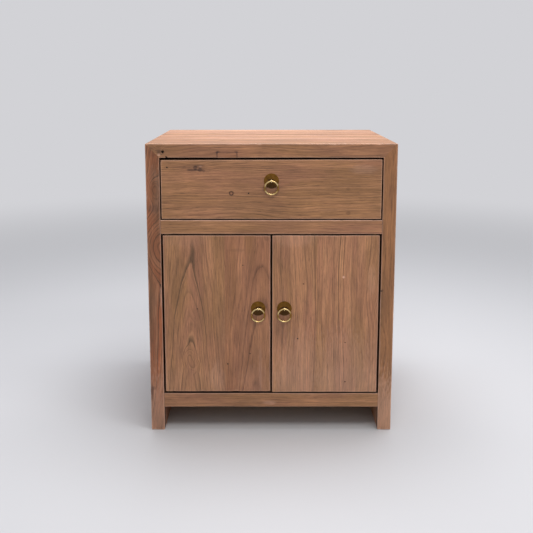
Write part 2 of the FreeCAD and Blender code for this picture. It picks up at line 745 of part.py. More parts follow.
def tail(middle, tip, root):
    """A dovetail's outline seen from the side, wide at its tip."""
    half = "tail_wide / 2"
    waist = "(tail_wide / 2 - tail_flare)"
    return [
        (root, f"{middle} - {waist}"),
        (tip, f"{middle} - {half}"),
        (tip, f"{middle} + {half}"),
        (root, f"{middle} + {waist}"),
    ]


def drawer():
    """The dovetailed drawer with its pull, and the plug in its front."""
    front_middles = tail_middles(int(size("front_tails")), "drawer_under", "side_top")
    back_middles = tail_middles(int(size("back_tails")), "panel_over", "drawer_back_top")
    tip = "drawer_front_back - (drawer_front_thick - front_lap)"
    back_root = "drawer_end - drawer_side_thick"
    front_tails = [tail(middle, tip, "drawer_front_back") for middle in front_middles]
    back_tails = [tail(middle, "drawer_end", back_root) for middle in back_middles]
    pull_up = "drawer_under + drawer_pull_up"
    plug_up = "drawer_under + plug_up"

    face = block("drawer_front", "-(drawer_half)", "drawer_half", "front", "drawer_front_back",
                 "drawer_under", "drawer_top")
    pocket(face, "YZ", front_tails, "-(drawer_half)", "drawer_side_thick")
    pocket(face, "YZ", front_tails, "drawer_half - drawer_side_thick", "drawer_side_thick")
    groove = "(drawer_half - drawer_side_thick + groove_deep)"
    pocket(face, "XZ", [rect(f"-{groove}", groove, "panel_under", "panel_over")],
           "drawer_front_back - groove_deep", "groove_deep")
    ease(face, "fine_arris", [{"y": "front"}])
    pocket(face, "XZ", [("0", pull_up, "pin_hole")], "front", "drawer_front_thick")
    pocket(face, "XZ", [("-plug_left", plug_up, "plug_across / 2 + plug_gap")], "front", "plug_deep")
    keep(face, "drawer_front")

    plug = doc.addObject("PartDesign::Body", "drawer_front_plug")
    pad(plug, "XZ", [("-plug_left", plug_up, "plug_across / 2")], "front", "plug_deep")
    keep(plug, "drawer_front_plug")

    bottom_spots = [
        ((number * size("bottom_screw_spread"), size("drawer_end - drawer_side_thick / 2"),
          size("panel_under")), (0, 0, 1))
        for number in (-1, 0, 1)
    ]
    _, seat = screws("drawer_bottom_screws", "small_shank", "small_head", "bottom_screw_long", bottom_spots)

    side_profile = [("drawer_front_back", "drawer_under")]
    for outline in front_tails:
        side_profile += outline
    side_profile += [("drawer_front_back", "side_top"), ("drawer_end", "side_top"),
                     ("drawer_end", "drawer_under")]
    pins = []
    low_edges = ["panel_over"] + [outline[3][1] for outline in back_tails]
    high_edges = [outline[0][1] for outline in back_tails] + ["drawer_back_top"]
    low_tips = ["panel_over"] + [outline[2][1] for outline in back_tails]
    high_tips = [outline[1][1] for outline in back_tails] + ["drawer_back_top"]
    for low_edge, high_edge, low_tip, high_tip in zip(low_edges, high_edges, low_tips, high_tips):
        pins.append([(back_root, low_edge), ("drawer_end", low_tip),
                     ("drawer_end", high_tip), (back_root, high_edge)])
    for name, side in SIDES.items():
        board = doc.addObject("PartDesign::Body", f"drawer_side_{name}")
        low = "-(drawer_half)" if side < 0 else "drawer_half - drawer_side_thick"
        pad(board, "YZ", [side_profile], low, "drawer_side_thick")
        pocket(board, "YZ", pins, low, "drawer_side_thick")
        groove_low = f"{side} * (drawer_half - drawer_side_thick + groove_deep / 2) - groove_deep / 2"
        pocket(board, "XZ", [rect(groove_low, f"{groove_low} + groove_deep", "panel_under", "panel_over")],
               tip, f"drawer_end - ({tip})")
        keep(board, f"drawer_side_{name}")

    rear = block("drawer_back_blank", "-(drawer_half)", "drawer_half", back_root, "drawer_end",
                 "panel_over", "drawer_back_top")
    pocket(rear, "YZ", back_tails, "-(drawer_half)", "drawer_side_thick")
    pocket(rear, "YZ", back_tails, "drawer_half - drawer_side_thick", "drawer_side_thick")
    let_in(rear, "drawer_back", [seat])

    reach = f"({groove} - groove_gap)"
    panel = block("drawer_bottom_blank", f"-{reach}", reach, "drawer_front_back - groove_deep + groove_gap",
                  "drawer_end", "panel_under", "panel_over")
    let_in(panel, "drawer_bottom", [seat])
    pull("drawer", "0", pull_up, "drawer_front_thick")


def strike(name, x):
    """A strike stud: a flat round head behind the door and a shank in the wood, turned in one piece."""
    spot = ((x, size("door_rear"), size("door_top - strike_drop")), (0, -1, 0))
    head, shank = size("strike_radius"), size("strike_shank")
    thick, long = size("strike_thick"), size("strike_long")
    stud = turned([(0, -thick), (head, -thick), (head, 0), (shank, 0), (shank, long), (0, long)])
    feature = doc.addObject("Part::Feature", name)
    feature.Shape = placed(stud, *spot)
    return keep(feature, name)


def door(name, side):
    """A door of two glued boards on two battens, with its pivot pins, strike and pull."""
    outer = f"{side} * (door_edge)"
    free = f"{side} * (door_free)"
    joint = f"{side} * (door_edge - {name}_outer_board)"
    pins = pivot_pins(f"{name}_door_pivot_pins", side)
    stud = strike(f"{name}_door_strike", side * size("magnet_spread"))

    levels = ("door_under + batten_from_end", "door_top - batten_from_end - batten_high")
    outer_middle = f"{side} * (door_edge - {name}_outer_board / 2)"
    inner_middle = f"{side} * (door_edge - {name}_outer_board + door_free) / 2"
    spots = [
        ((size(x), size("door_rear + batten_thick"), size(f"{level} + batten_high / 2")), (0, -1, 0))
        for level in levels for x in (outer_middle, inner_middle)
    ]
    _, seat = screws(f"{name}_door_screws", "screw_shank", "screw_head", "batten_screw_long", spots)

    pull_x = f"{side} * (door_free + door_pull_inset)"
    pull_z = "door_under + door_pull_up"
    for which, edge, mates in (("outer", outer, [pins, seat]), ("inner", free, [stud, seat])):
        board = block(f"{name}_door_{which}_board_blank", edge, joint, "front", "door_rear",
                      "door_under", "door_top")
        ease(board, "fine_arris", [{"y": "front"}], [{"x": joint}])
        if which == "inner":
            pocket(board, "XZ", [(pull_x, pull_z, "pin_hole")], "front", "door_thick")
        let_in(board, f"{name}_door_{which}_board", mates)

    battens = []
    for level in levels:
        batten = block("batten", f"{side} * (door_edge - batten_inset)",
                       f"{side} * (door_free + batten_inset)", "door_rear", "door_rear + batten_thick",
                       level, f"{level} + batten_high")
        ease(batten, "fine_arris", [{"y": "door_rear + batten_thick"}])
        battens.append(batten)
    blanks = doc.addObject("Part::Compound", f"{name}_battens")
    blanks.Links = battens
    let_in(blanks, f"{name}_door_battens", [seat])
    pull(f"{name}_door", pull_x, pull_z, "door_thick")


def write_steps():
    """Check every object and sub-part, then write each sub-part to its own file."""
    doc.recompute()
    for item in doc.Objects:
        if "Invalid" in item.State or "Error" in item.State:
            raise ValueError(f"{item.Label} failed: {item.State}")
    for name, piece in nodes.items():
        if piece.Shape.isNull() or not piece.Shape.isValid() or not piece.Shape.Solids:
            raise ValueError(f"{name} has no valid shape")
    os.makedirs("parts", exist_ok=True)
    for name, piece in nodes.items():
        piece.Shape.exportStep(f"parts/{name}.step")
    print(len(nodes), "sub-parts")


carcass()
drawer()
for door_name, door_side in SIDES.items():
    door(door_name, door_side)
write_steps()
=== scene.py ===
"""A bedside cabinet of old elm: slab top and sides, one drawer over two plank doors, brass ring pulls.

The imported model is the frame. The boards that show are rebuilt here as worn boards, with arrises rubbed by
use, dents and nail holes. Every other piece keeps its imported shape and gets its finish. Lengths are in
millimetres until they reach a mesh. The front faces -Y.
"""
import json
import math
import bpy
import numpy as np
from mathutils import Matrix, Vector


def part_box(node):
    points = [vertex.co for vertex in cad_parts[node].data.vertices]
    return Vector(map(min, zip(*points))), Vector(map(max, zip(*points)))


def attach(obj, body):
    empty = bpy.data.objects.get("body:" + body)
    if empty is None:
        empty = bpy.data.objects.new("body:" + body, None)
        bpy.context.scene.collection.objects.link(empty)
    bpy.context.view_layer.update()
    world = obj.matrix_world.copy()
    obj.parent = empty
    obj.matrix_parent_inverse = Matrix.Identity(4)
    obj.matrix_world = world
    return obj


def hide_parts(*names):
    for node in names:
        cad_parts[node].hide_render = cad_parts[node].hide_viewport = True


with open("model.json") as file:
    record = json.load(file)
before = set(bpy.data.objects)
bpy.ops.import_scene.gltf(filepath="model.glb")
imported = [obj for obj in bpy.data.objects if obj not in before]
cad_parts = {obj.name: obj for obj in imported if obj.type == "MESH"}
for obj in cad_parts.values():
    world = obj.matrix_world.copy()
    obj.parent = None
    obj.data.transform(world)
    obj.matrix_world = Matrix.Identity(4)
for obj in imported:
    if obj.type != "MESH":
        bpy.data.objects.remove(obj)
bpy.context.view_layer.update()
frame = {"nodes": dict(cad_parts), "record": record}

MM = 0.001
RECORD = frame["record"]
BODY_OF = {node: body for body, nodes in RECORD["behaviour"]["bodies"].items() for node in nodes}


def limits(node):
    """A node's lowest and highest corner in millimetres."""
    low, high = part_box(node)
    return np.array(low) / MM, np.array(high) / MM


# The cabinet's main planes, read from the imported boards
LEFT, FRONT, FLOOR = limits("left_side_board_front")[0]
RIGHT = limits("right_side_board_front")[1][0]
INNER = limits("right_side_board_front")[0][0]
UNDER_TOP, TOP = limits("top_board_front")[0][2], limits("top_board_front")[1][2]
DOOR_FACE = limits("left_door_outer_board")[0][1]
DRAWER_FACE = limits("drawer_front")[0][1]

# The radius to which each kind of edge is rubbed
ARRIS = 1.4          # slabs
FINE_ARRIS = 1.3     # rails, doors and drawer front
REAR_ARRIS = 0.8     # the same, behind
SMALL_EDGE = 0.3     # small or hidden pieces
GLUED = 0.12         # boards that are glued together
FOOT = 3.2
CORNER = 2.3         # the outer corner of top and side

# How a rubbed edge and a planed face vary
RUBBED = 0.5         # least radius of an edge that is worn
WANDERING = 0.22     # how much its radius wanders, as a share
WANDER_LONG = 170    # and over what length
KNOCK_LONG = 3.5     # length of a knock in it
RUB_ENDS = 2.2       # where the rubbing ends, in radii
UNEVEN = 0.12        # hollows left by the plane
PLANE_WAVE = 90      # and their length
HALF_THICK = 30      # half the thickness up to which a board's faces are wide ones
LEAN = 22            # where a slab board starts to lean, before its mitre
KNOCK, HOLE, PLUG_SEAT = 2, 4, 24    # how crisp each kind of dent is

# A board's grid: its cell, its least cell, and the lines near an edge, in shares of the edge's radius
CELL = 6.0
LEAST_CELL = 0.02
EDGE_LINES = np.array([0, 0.12, 0.3, 0.55, 0.8, 1.1, 1.6, 2.6])


# Worn boards

def wander(along, length, seed):
    """An uneven line between -1 and 1: four sines, each half as long and half as high as the last."""
    starts = np.random.default_rng(seed).uniform(0, 2 * np.pi, 4)
    return sum(np.sin(2 * np.pi * along * 2**k / length + starts[k]) / 2**k for k in range(4)) / 1.9


def swell(place, length, seed):
    """An uneven field between -1 and 1: six plane waves that cross in random directions."""
    random = np.random.default_rng(seed)
    total = np.zeros(len(place))
    for _ in range(6):
        direction = random.normal(size=3)
        direction *= 2 * np.pi / length * random.uniform(0.6, 1.6) / np.linalg.norm(direction)
        total += np.sin(place @ direction + random.uniform(0, 2 * np.pi))
    return total / 6


def grid_lines(low, high, near_low, near_high, spots):
    """Grid lines along one axis: even cells, closer at both ends and round each spot."""
    count = max(2, int(math.ceil((high - low) / CELL)))
    lines = [np.linspace(low, high, count + 1), low + near_low * EDGE_LINES, high - near_high * EDGE_LINES]
    for middle, reach, step in spots:
        lines.append(np.arange(middle - reach, middle + reach + step / 2, step))
    lines = np.unique(np.clip(np.concatenate(lines), low, high))
    lines = lines[np.append(True, np.diff(lines) > LEAST_CELL)]
    lines[-1] = high
    return lines


def box_surface(lines):
    """The surface of a box cut by grid lines: each lattice point once, and the quads between, facing out."""
    count = [len(line) for line in lines]
    quads = []
    for axis in range(3):
        first, second = (axis + 1) % 3, (axis + 2) % 3
        i, j = np.meshgrid(np.arange(count[first] - 1), np.arange(count[second] - 1), indexing="ij")
        for end in (0, count[axis] - 1):
            turn = [(0, 0), (1, 0), (1, 1), (0, 1)]
            if end == 0:
                turn.reverse()
            quad = np.empty(i.shape + (4, 3), int)
            for corner, (step_i, step_j) in enumerate(turn):
                quad[..., corner, axis] = end
                quad[..., corner, first] = i + step_i
                quad[..., corner, second] = j + step_j
            quads.append(quad.reshape(-1, 4, 3))
    quads = np.concatenate(quads)
    number = (quads[..., 0] * count[1] + quads[..., 1]) * count[2] + quads[..., 2]
    used, faces = np.unique(number, return_inverse=True)
    place = np.stack([
        lines[0][used // (count[1] * count[2])],
        lines[1][used // count[2] % count[1]],
        lines[2][used % count[2]],
    ], axis=1)
    return place, faces.reshape(-1, 4)


def rub_arrises(place, low, high, soft, seed):
    """Round each edge of a box: a point nearer to two faces than the radius moves onto the arc between them.

    The radius is the smaller one of the two faces. On a rubbed edge it wanders and grows at four knocks. The
    second result says how near each point is to a rubbed edge, from 0 to 1; the finish paints the wood paler
    there, as wear and as a painted highlight.
    """
    random = np.random.default_rng(seed)
    rubbed = np.zeros(len(place))
    start = place.copy()
    for one, two in ((0, 1), (0, 2), (1, 2)):
        along = start[:, 3 - one - two]
        for side_one in (0, 1):
            for side_two in (0, 1):
                radius = min(soft[one][side_one], soft[two][side_two])
                reach = np.full(len(place), radius)
                knocks = random.uniform(along.min(), along.max(), 4)
                depths = random.uniform(0.2, 1.0, 4) ** 2
                if radius > RUBBED:
                    number = seed + 7 * side_one + 3 * side_two + one
                    reach *= 1 + WANDERING * wander(along, WANDER_LONG, number)
                    for knock, depth in zip(knocks, depths):
                        reach += radius * depth * np.exp(-((along - knock) / KNOCK_LONG) ** 2)
                in_one = place[:, one] - low[one] if side_one == 0 else high[one] - place[:, one]
                in_two = place[:, two] - low[two] if side_two == 0 else high[two] - place[:, two]
                if radius > RUBBED:
                    rubbed = np.maximum(rubbed, 1 - np.hypot(in_one, in_two) / (RUB_ENDS * reach))
                back_one, back_two = reach - in_one, reach - in_two
                inside = (back_one > 0) & (back_two > 0)
                share = np.where(inside, reach / np.maximum(np.hypot(back_one, back_two), reach), 1)
                moved_one = np.where(inside, reach - back_one * share, in_one)
                moved_two = np.where(inside, reach - back_two * share, in_two)
                place[:, one] = low[one] + moved_one if side_one == 0 else high[one] - moved_one
                place[:, two] = low[two] + moved_two if side_two == 0 else high[two] - moved_two
    return place, np.clip(rubbed, 0, 1)


def press_dents(place, dents):
    """Push points into the wood at each dent: depth times exp(-(distance / radius) ** crisp).

    Only points near the dent's own face move. The second result is how soiled the holes are, from 0 to 1: it
    fills them to half a millimetre past their radius.
    """
    dirt_and_shade = np.zeros(len(place))
    for spot, (axis, way), radius, depth, crisp in dents:
        across = [other for other in range(3) if other != axis]
        apart = np.hypot(place[:, across[0]] - spot[across[0]], place[:, across[1]] - spot[across[1]])
        near = np.abs(place[:, axis] - spot[axis]) < 3 + depth
        place[:, axis] += way * depth * np.exp(-(apart / radius) ** crisp) * near
        if crisp >= HOLE:
            dirt_and_shade = np.maximum(dirt_and_shade, np.exp(-(apart / (radius + 0.5)) ** 8) * near)
    return place, dirt_and_shade


def ramp(value, start, end):
    """0 before start, 1 after end, and a smooth step between."""
    part = np.clip((value - start) / (end - start), 0, 1)
    return part * part * (3 - 2 * part)


def gap_shade(place, front, planes):
    """Painted shade on the faces that line a gap: full from 0.9 mm behind the front, and none from 26 mm on.
    """
    dirt_and_shade = np.zeros(len(place))
    for axis, level in planes:
        deep = place[:, 1] - front
        aside = np.abs(place[:, axis] - level)
        gap_shade_amount = ramp(deep, 0.1, 0.9) * (1 - 0.6 * ramp(deep, 4, 11)) * (1 - ramp(deep, 12, 26))
        dirt_and_shade = np.maximum(dirt_and_shade, gap_shade_amount * (1 - ramp(aside, 0.45, 0.95)))
    return dirt_and_shade


def board_surface(low, high, soft, seed, dents=(), uneven=UNEVEN, gaps=()):
    """A board: a box surface with rubbed arrises, wide faces sunk by an uneven field, and dents.

    soft is each face's edge radius: ((x low, x high), (y low, y high), (z low, z high)). gaps names the
    faces that line a narrow gap, as (axis, place), which are painted dark as shade. The grid is finer at
    each edge and each dent.
    """
    lines = []
    for axis in range(3):
        spots = [(spot[axis], 1.8 * radius, max(radius / 4, 0.3))
                 for spot, (into, _), radius, _, _ in dents if into != axis]
        lines.append(grid_lines(low[axis], high[axis], *np.clip(soft[axis], 0.4, 3.5), spots))
    flat, faces = box_surface(lines)
    place, rubbed = rub_arrises(flat.copy(), low, high, soft, seed)
    dip = uneven * (0.5 + 0.5 * swell(flat, PLANE_WAVE, seed + 50))
    for axis in range(3):
        middle, half = (low[axis] + high[axis]) / 2, (high[axis] - low[axis]) / 2
        if half < HALF_THICK:
            out = np.sign(flat[:, axis] - middle)
            place[:, axis] -= out * dip * (np.abs(np.abs(flat[:, axis] - middle) - half) < 0.01)
    place, dirt_and_shade = press_dents(place, dents)
    dirt_and_shade = np.maximum(dirt_and_shade, gap_shade(place, low[1], gaps))
    return place, faces, rubbed, dirt_and_shade


def make_piece(name, surfaces, *nodes):
    """One mesh of surfaces in millimetres. It stands for nodes: it rides on their body and hides them."""
    first = np.cumsum([0] + [len(surface[0]) for surface in surfaces])
    place = np.concatenate([surface[0] for surface in surfaces])
    faces = np.concatenate([surface[1] + start for surface, start in zip(surfaces, first)])
    mesh = bpy.data.meshes.new(name)
    mesh.from_pydata(place * MM, [], faces.tolist())
    mesh.shade_smooth()
    for number, mark in ((2, "rubbed"), (3, "dirt_and_shade")):
        amount = np.concatenate([surface[number] for surface in surfaces]).astype(np.float32)
        mesh.attributes.new(mark, "FLOAT", "POINT").data.foreach_set("value", amount)
    piece = bpy.data.objects.new(name, mesh)
    bpy.context.scene.collection.objects.link(piece)
    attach(piece, BODY_OF[nodes[0]])
    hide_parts(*nodes)


def mitred(place):
    """Lean a slab board's ends to the mitre between top and side, then round the outer corner across it.

    Past a start line near the end, a point's distance along the board is stretched so that the board ends on
    the plane through the inner and outer corner.
    """
    place = place.copy()
    x, z = place[:, 0].copy(), place[:, 2].copy()
    if z.min() > UNDER_TOP - 1:
        start = INNER - LEAN
        reach = INNER + (z - UNDER_TOP)
        past = np.maximum(np.abs(x) - start, 0) / (RIGHT - start)
        place[:, 0] = np.sign(x) * (np.minimum(np.abs(x), start) + past * (reach - start))
    else:
        start = UNDER_TOP - LEAN
        reach = UNDER_TOP + (np.abs(x) - INNER)
        past = np.maximum(z - start, 0) / (TOP - start)
        place[:, 2] = np.minimum(z, start) + past * (reach - start)
    out_x = np.abs(place[:, 0]) - (RIGHT - CORNER)
    out_z = place[:, 2] - (TOP - CORNER)
    far = np.hypot(out_x, out_z)
    beyond = (out_x > 0) & (out_z > 0) & (far > CORNER)
    share = np.where(beyond, CORNER / np.maximum(far, CORNER), 1)
    place[:, 0] = np.where(beyond, np.sign(place[:, 0]) * (RIGHT - CORNER + out_x * share), place[:, 0])
    place[:, 2] = np.where(beyond, TOP - CORNER + out_z * share, place[:, 2])
    return place


# The axis a dent goes along, and which way
INTO_FRONT = (1, 1)
INTO_TOP = (2, -1)
INTO_LEFT = (0, 1)
INTO_RIGHT = (0, -1)


def nail_hole(x, y, z, radius=1.0, depth=1.6, into=INTO_FRONT):
    """A small old nail hole."""
    return ((x, y, z), into, radius, depth, HOLE)


def knock(x, y, z, radius, depth, into=INTO_FRONT):
    """A shallow dent with soft sides."""
    return ((x, y, z), into, radius, depth, KNOCK)


# The photograph's holes and knocks, and a few on the faces it doesn't show
DENTS = {
    "top_board_front": [
        nail_hole(-113, -55.6, TOP, 1.5, 2.0, INTO_TOP),
        nail_hole(-224.2, FRONT, 583.2, 2.0, 4.0),
        nail_hole(-220.4, FRONT, 584.4, 2.0, 4.0),
        nail_hole(-217.4, FRONT, 573.2, 2.4, 2.6),
        nail_hole(-213.4, FRONT, 572.4, 1.5, 2.0),
        knock(60, -120, TOP, 6, 0.25, INTO_TOP),
        knock(-30, FRONT, 600, 5, 0.5),
    ],
    "top_board_middle": [knock(120, 60, TOP, 7, 0.3, INTO_TOP)],
    "left_side_board_front": [
        nail_hole(-225.4, FRONT, 313),
        knock(-247, FRONT, 80, 4, 0.8),
        knock(-224, FRONT, 290, 5, 0.6),
        knock(LEFT, -90, 210, 6, 0.4, INTO_LEFT),
    ],
    "right_side_board_front": [
        nail_hole(223.4, FRONT, 300),
        knock(RIGHT, -60, 240, 5, 0.5, INTO_RIGHT),
    ],
    "left_door_outer_board": [nail_hole(-151, DOOR_FACE, 262, 0.8, 1.0)],
    "left_door_inner_board": [
        nail_hole(-89.6, DOOR_FACE, 143.6),
        nail_hole(-43.4, DOOR_FACE, 166, 0.8, 1.2),
        nail_hole(-57.8, DOOR_FACE, 353.5, 0.7, 1.0),
    ],
    "right_door_inner_board": [
        nail_hole(65.5, DOOR_FACE, 315, 0.8, 1.2),
        nail_hole(54.3, DOOR_FACE, 199),
    ],
    "right_door_outer_board": [
        knock(146.8, DOOR_FACE, 329, 2.4, 0.7),
        nail_hole(152, DOOR_FACE, 190.6, 0.8, 1.0),
        nail_hole(153, DOOR_FACE, 106, 1.0, 1.2),
    ],
    "drawer_front": [
        nail_hole(-45.5, DRAWER_FACE, 501, 1.1, 1.4),
        nail_hole(-207, DRAWER_FACE, 553, 1.2, 1.4),
        knock(-146, DRAWER_FACE, 551, 4, 0.5),
        knock(-158, DRAWER_FACE, 556, 3, 0.4),
        ((-80, DRAWER_FACE, 501), INTO_FRONT, 4.25, 1.5, PLUG_SEAT),
    ],
    "bottom_rail": [knock(-3, FRONT, 60, 4, 0.4)],
    "middle_rail": [knock(140, FRONT, 447, 3, 0.6)],
}


def slab_boards(seed):
    """The front and middle boards of the top and of both sides, whose ends meet in mitres."""
    for which in ("front", "middle"):
        front_edge = ARRIS if which == "front" else GLUED
        for slab in ("top", "left_side", "right_side"):
            seed += 1
            node = f"{slab}_board_{which}"
            low, high = limits(node)
            if slab == "top":
                low[0], high[0] = LEFT, RIGHT
                soft = ((GLUED, GLUED), (front_edge, GLUED), (ARRIS, ARRIS))
            else:
                low[2], high[2] = FLOOR, TOP
                soft = ((FOOT, FOOT), (front_edge, GLUED), (FOOT, GLUED))
            inside = {"top": (2, UNDER_TOP), "left_side": (0, -INNER), "right_side": (0, INNER)}[slab]
            gaps = [inside] if which == "front" else []
            place, *rest = board_surface(low, high, soft, seed, DENTS.get(node, ()), gaps=gaps)
            make_piece(f"worn_{node}", [(mitred(place), *rest)], node)


def front_rails(seed):
    """The rail between drawer and doors, and the rail under the doors."""
    for node in ("middle_rail", "bottom_rail"):
        seed += 1
        low, high = limits(node)
        low[0], high[0] = -INNER, INNER
        soft = ((GLUED, GLUED), (FINE_ARRIS, REAR_ARRIS), (FINE_ARRIS, FINE_ARRIS))
        gaps = [(2, high[2])] if node == "bottom_rail" else [(2, low[2]), (2, high[2])]
        make_piece(f"worn_{node}", [board_surface(low, high, soft, seed, DENTS[node], gaps=gaps)], node)


def door_boards(seed, short=1.2):
    """The two glued boards of each door.

    The left door's foot was planed short: its points rise by short, less and less towards the door's top.
    """
    for side in ("left", "right"):
        for which in ("outer", "inner"):
            seed += 1
            node = f"{side}_door_{which}_board"
            low, high = limits(node)
            free_low = (which == "outer") == (side == "left")
            soft = ((FINE_ARRIS, GLUED) if free_low else (GLUED, FINE_ARRIS),
                    (FINE_ARRIS, REAR_ARRIS), (FINE_ARRIS, FINE_ARRIS))
            gaps = [(0, low[0] if free_low else high[0]), (2, low[2]), (2, high[2])]
            place, *rest = board_surface(low, high, soft, seed, DENTS[node], gaps=gaps)
            if side == "left":
                place[:, 2] += (1 - (place[:, 2] - low[2]) / (high[2] - low[2])) * short
            make_piece(f"worn_{node}", [(place, *rest)], node)


def drawer_front_board(seed, tails=3, half_tail=13.5, narrower=2, slope=1.3):
    """The drawer front: a thin face over the dovetails, the board behind it, and pins between the tails.

    A pin is a box whose top and bottom lean away from each other towards the back of the board, because a
    tail is narrower there by so much a side. The front's top edge was planed to a slope, lower at the left:
    the points within 5 mm of it sink in proportion to their distance from the right end.
    """
    low, high = limits("drawer_front")
    side = limits("drawer_side_right")
    tails_tip, thick = side[0][1], side[1][0] - side[0][0]
    face = board_surface(low, np.array([high[0], tails_tip, high[2]]),
                         ((FINE_ARRIS, FINE_ARRIS), (FINE_ARRIS, GLUED), (FINE_ARRIS, FINE_ARRIS)),
                         seed, DENTS["drawer_front"],
                         gaps=[(0, low[0]), (0, high[0]), (2, low[2]), (2, high[2])])
    within = high[0] - thick
    back = board_surface(np.array([-within, tails_tip - 1, low[2]]), np.array([within, high[1], high[2]]),
                         ((GLUED, GLUED), (GLUED, 0.9), (FINE_ARRIS, FINE_ARRIS)), seed + 1)
    surfaces = [face, back]
    step = (side[1][2] - side[0][2]) / tails
    middles = low[2] + step * (np.arange(tails) + 0.5)
    bottoms = np.append(low[2], middles)
    tops = np.append(middles, high[2])
    for number, (bottom, top) in enumerate(zip(bottoms, tops)):
        for way in (-1, 1):
            ends = sorted((way * within, way * high[0]))
            pin_low = np.array([ends[0], tails_tip - 0.5, bottom])
            pin_high = np.array([ends[1], high[1], top])
            place, *rest = board_surface(pin_low, pin_high, ((SMALL_EDGE, SMALL_EDGE),) * 3, seed + 2,
                                         uneven=0)
            deep = (place[:, 1] - tails_tip) / (high[1] - tails_tip)
            tail = half_tail - narrower * deep
            from_bottom = bottom + (tail if number > 0 else 0)
            from_top = top - (tail if number < tails else 0)
            place[:, 2] = from_bottom + (place[:, 2] - bottom) / (top - bottom) * (from_top - from_bottom)
            surfaces.append((place, *rest))
    for place, *rest in surfaces:
        place[:, 2] -= slope * (high[0] - place[:, 0]) / (2 * high[0]) * (place[:, 2] > high[2] - 5)
    make_piece("worn_drawer_front", surfaces, "drawer_front")


def edge_patch(seed, proud=0.05):
    """The little board let into the lower front edge of the top, a hair proud of it, so that it shows."""
    low, high = limits("top_edge_patch")
    low[1] -= proud
    low[2] -= proud
    soft = ((SMALL_EDGE, SMALL_EDGE), (0.6, SMALL_EDGE), (0.9, SMALL_EDGE))
    make_piece("worn_edge_patch", [board_surface(low, high, soft, seed, uneven=0.05)], "top_edge_patch")


# Each kind of board starts its random numbers at its own seed
slab_boards(100)
front_rails(200)
door_boards(300)
drawer_front_board(400)
edge_patch(500)


# Finishes

def linear(code):
    """An sRGB hex colour as linear light with full alpha."""
    parts = [int(code[place:place + 2], 16) / 255 for place in (1, 3, 5)]
    light = [part / 12.92 if part <= 0.04045 else ((part + 0.055) / 1.055) ** 2.4 for part in parts]
    return (*light, 1)


def feed(tree, node, inputs):
    """Fill a node's inputs: by name, or in a list in order. None leaves a socket as it is.

    An input is a socket, a node (its first working output) or a plain value.
    """
    working = [socket for socket in node.inputs if socket.enabled]
    if isinstance(inputs, dict):
        inputs = [inputs.get(socket.name) for socket in working]
    for socket, value in zip(working, inputs):
        if isinstance(value, bpy.types.Node):
            value = next(output for output in value.outputs if output.enabled)
        if isinstance(value, bpy.types.NodeSocket):
            tree.links.new(value, socket)
        elif value is not None:
            socket.default_value = value


def add(tree, kind, inputs={}, **settings):
    """Add a node with its inputs and its settings.

    A MapRange's list holds its value, where that starts and ends, and what it becomes there, else 0 and 1.
    """
    node = tree.nodes.new("ShaderNode" + kind)
    for name, value in settings.items():
        setattr(node, name, value)
    feed(tree, node, inputs)
    return node


def new_material(name):
    """An empty material, its node tree, and its shader."""
    material = bpy.data.materials.new(name)
    material.use_nodes = True
    tree = material.node_tree
    tree.nodes.clear()
    shader = add(tree, "BsdfPrincipled")
    add(tree, "OutputMaterial", [shader])
    return material, tree, shader


def millimetres(tree):
    """A piece's own coordinates in millimetres."""
    place = add(tree, "TexCoord")
    return add(tree, "VectorMath", {"Vector": place.outputs["Object"], "Scale": 1 / MM}, operation="SCALE")


def grain_noise(tree, place, long, wide, detail, roughness=0.5):
    """Noise whose blots are so many millimetres long, with the grain, and so many wide."""
    scaled = add(tree, "VectorMath", [place, (1 / long, 1 / wide, 1 / wide)], operation="MULTIPLY")
    return add(tree, "TexNoise", {"Vector": scaled, "Scale": 1, "Detail": detail, "Roughness": roughness})


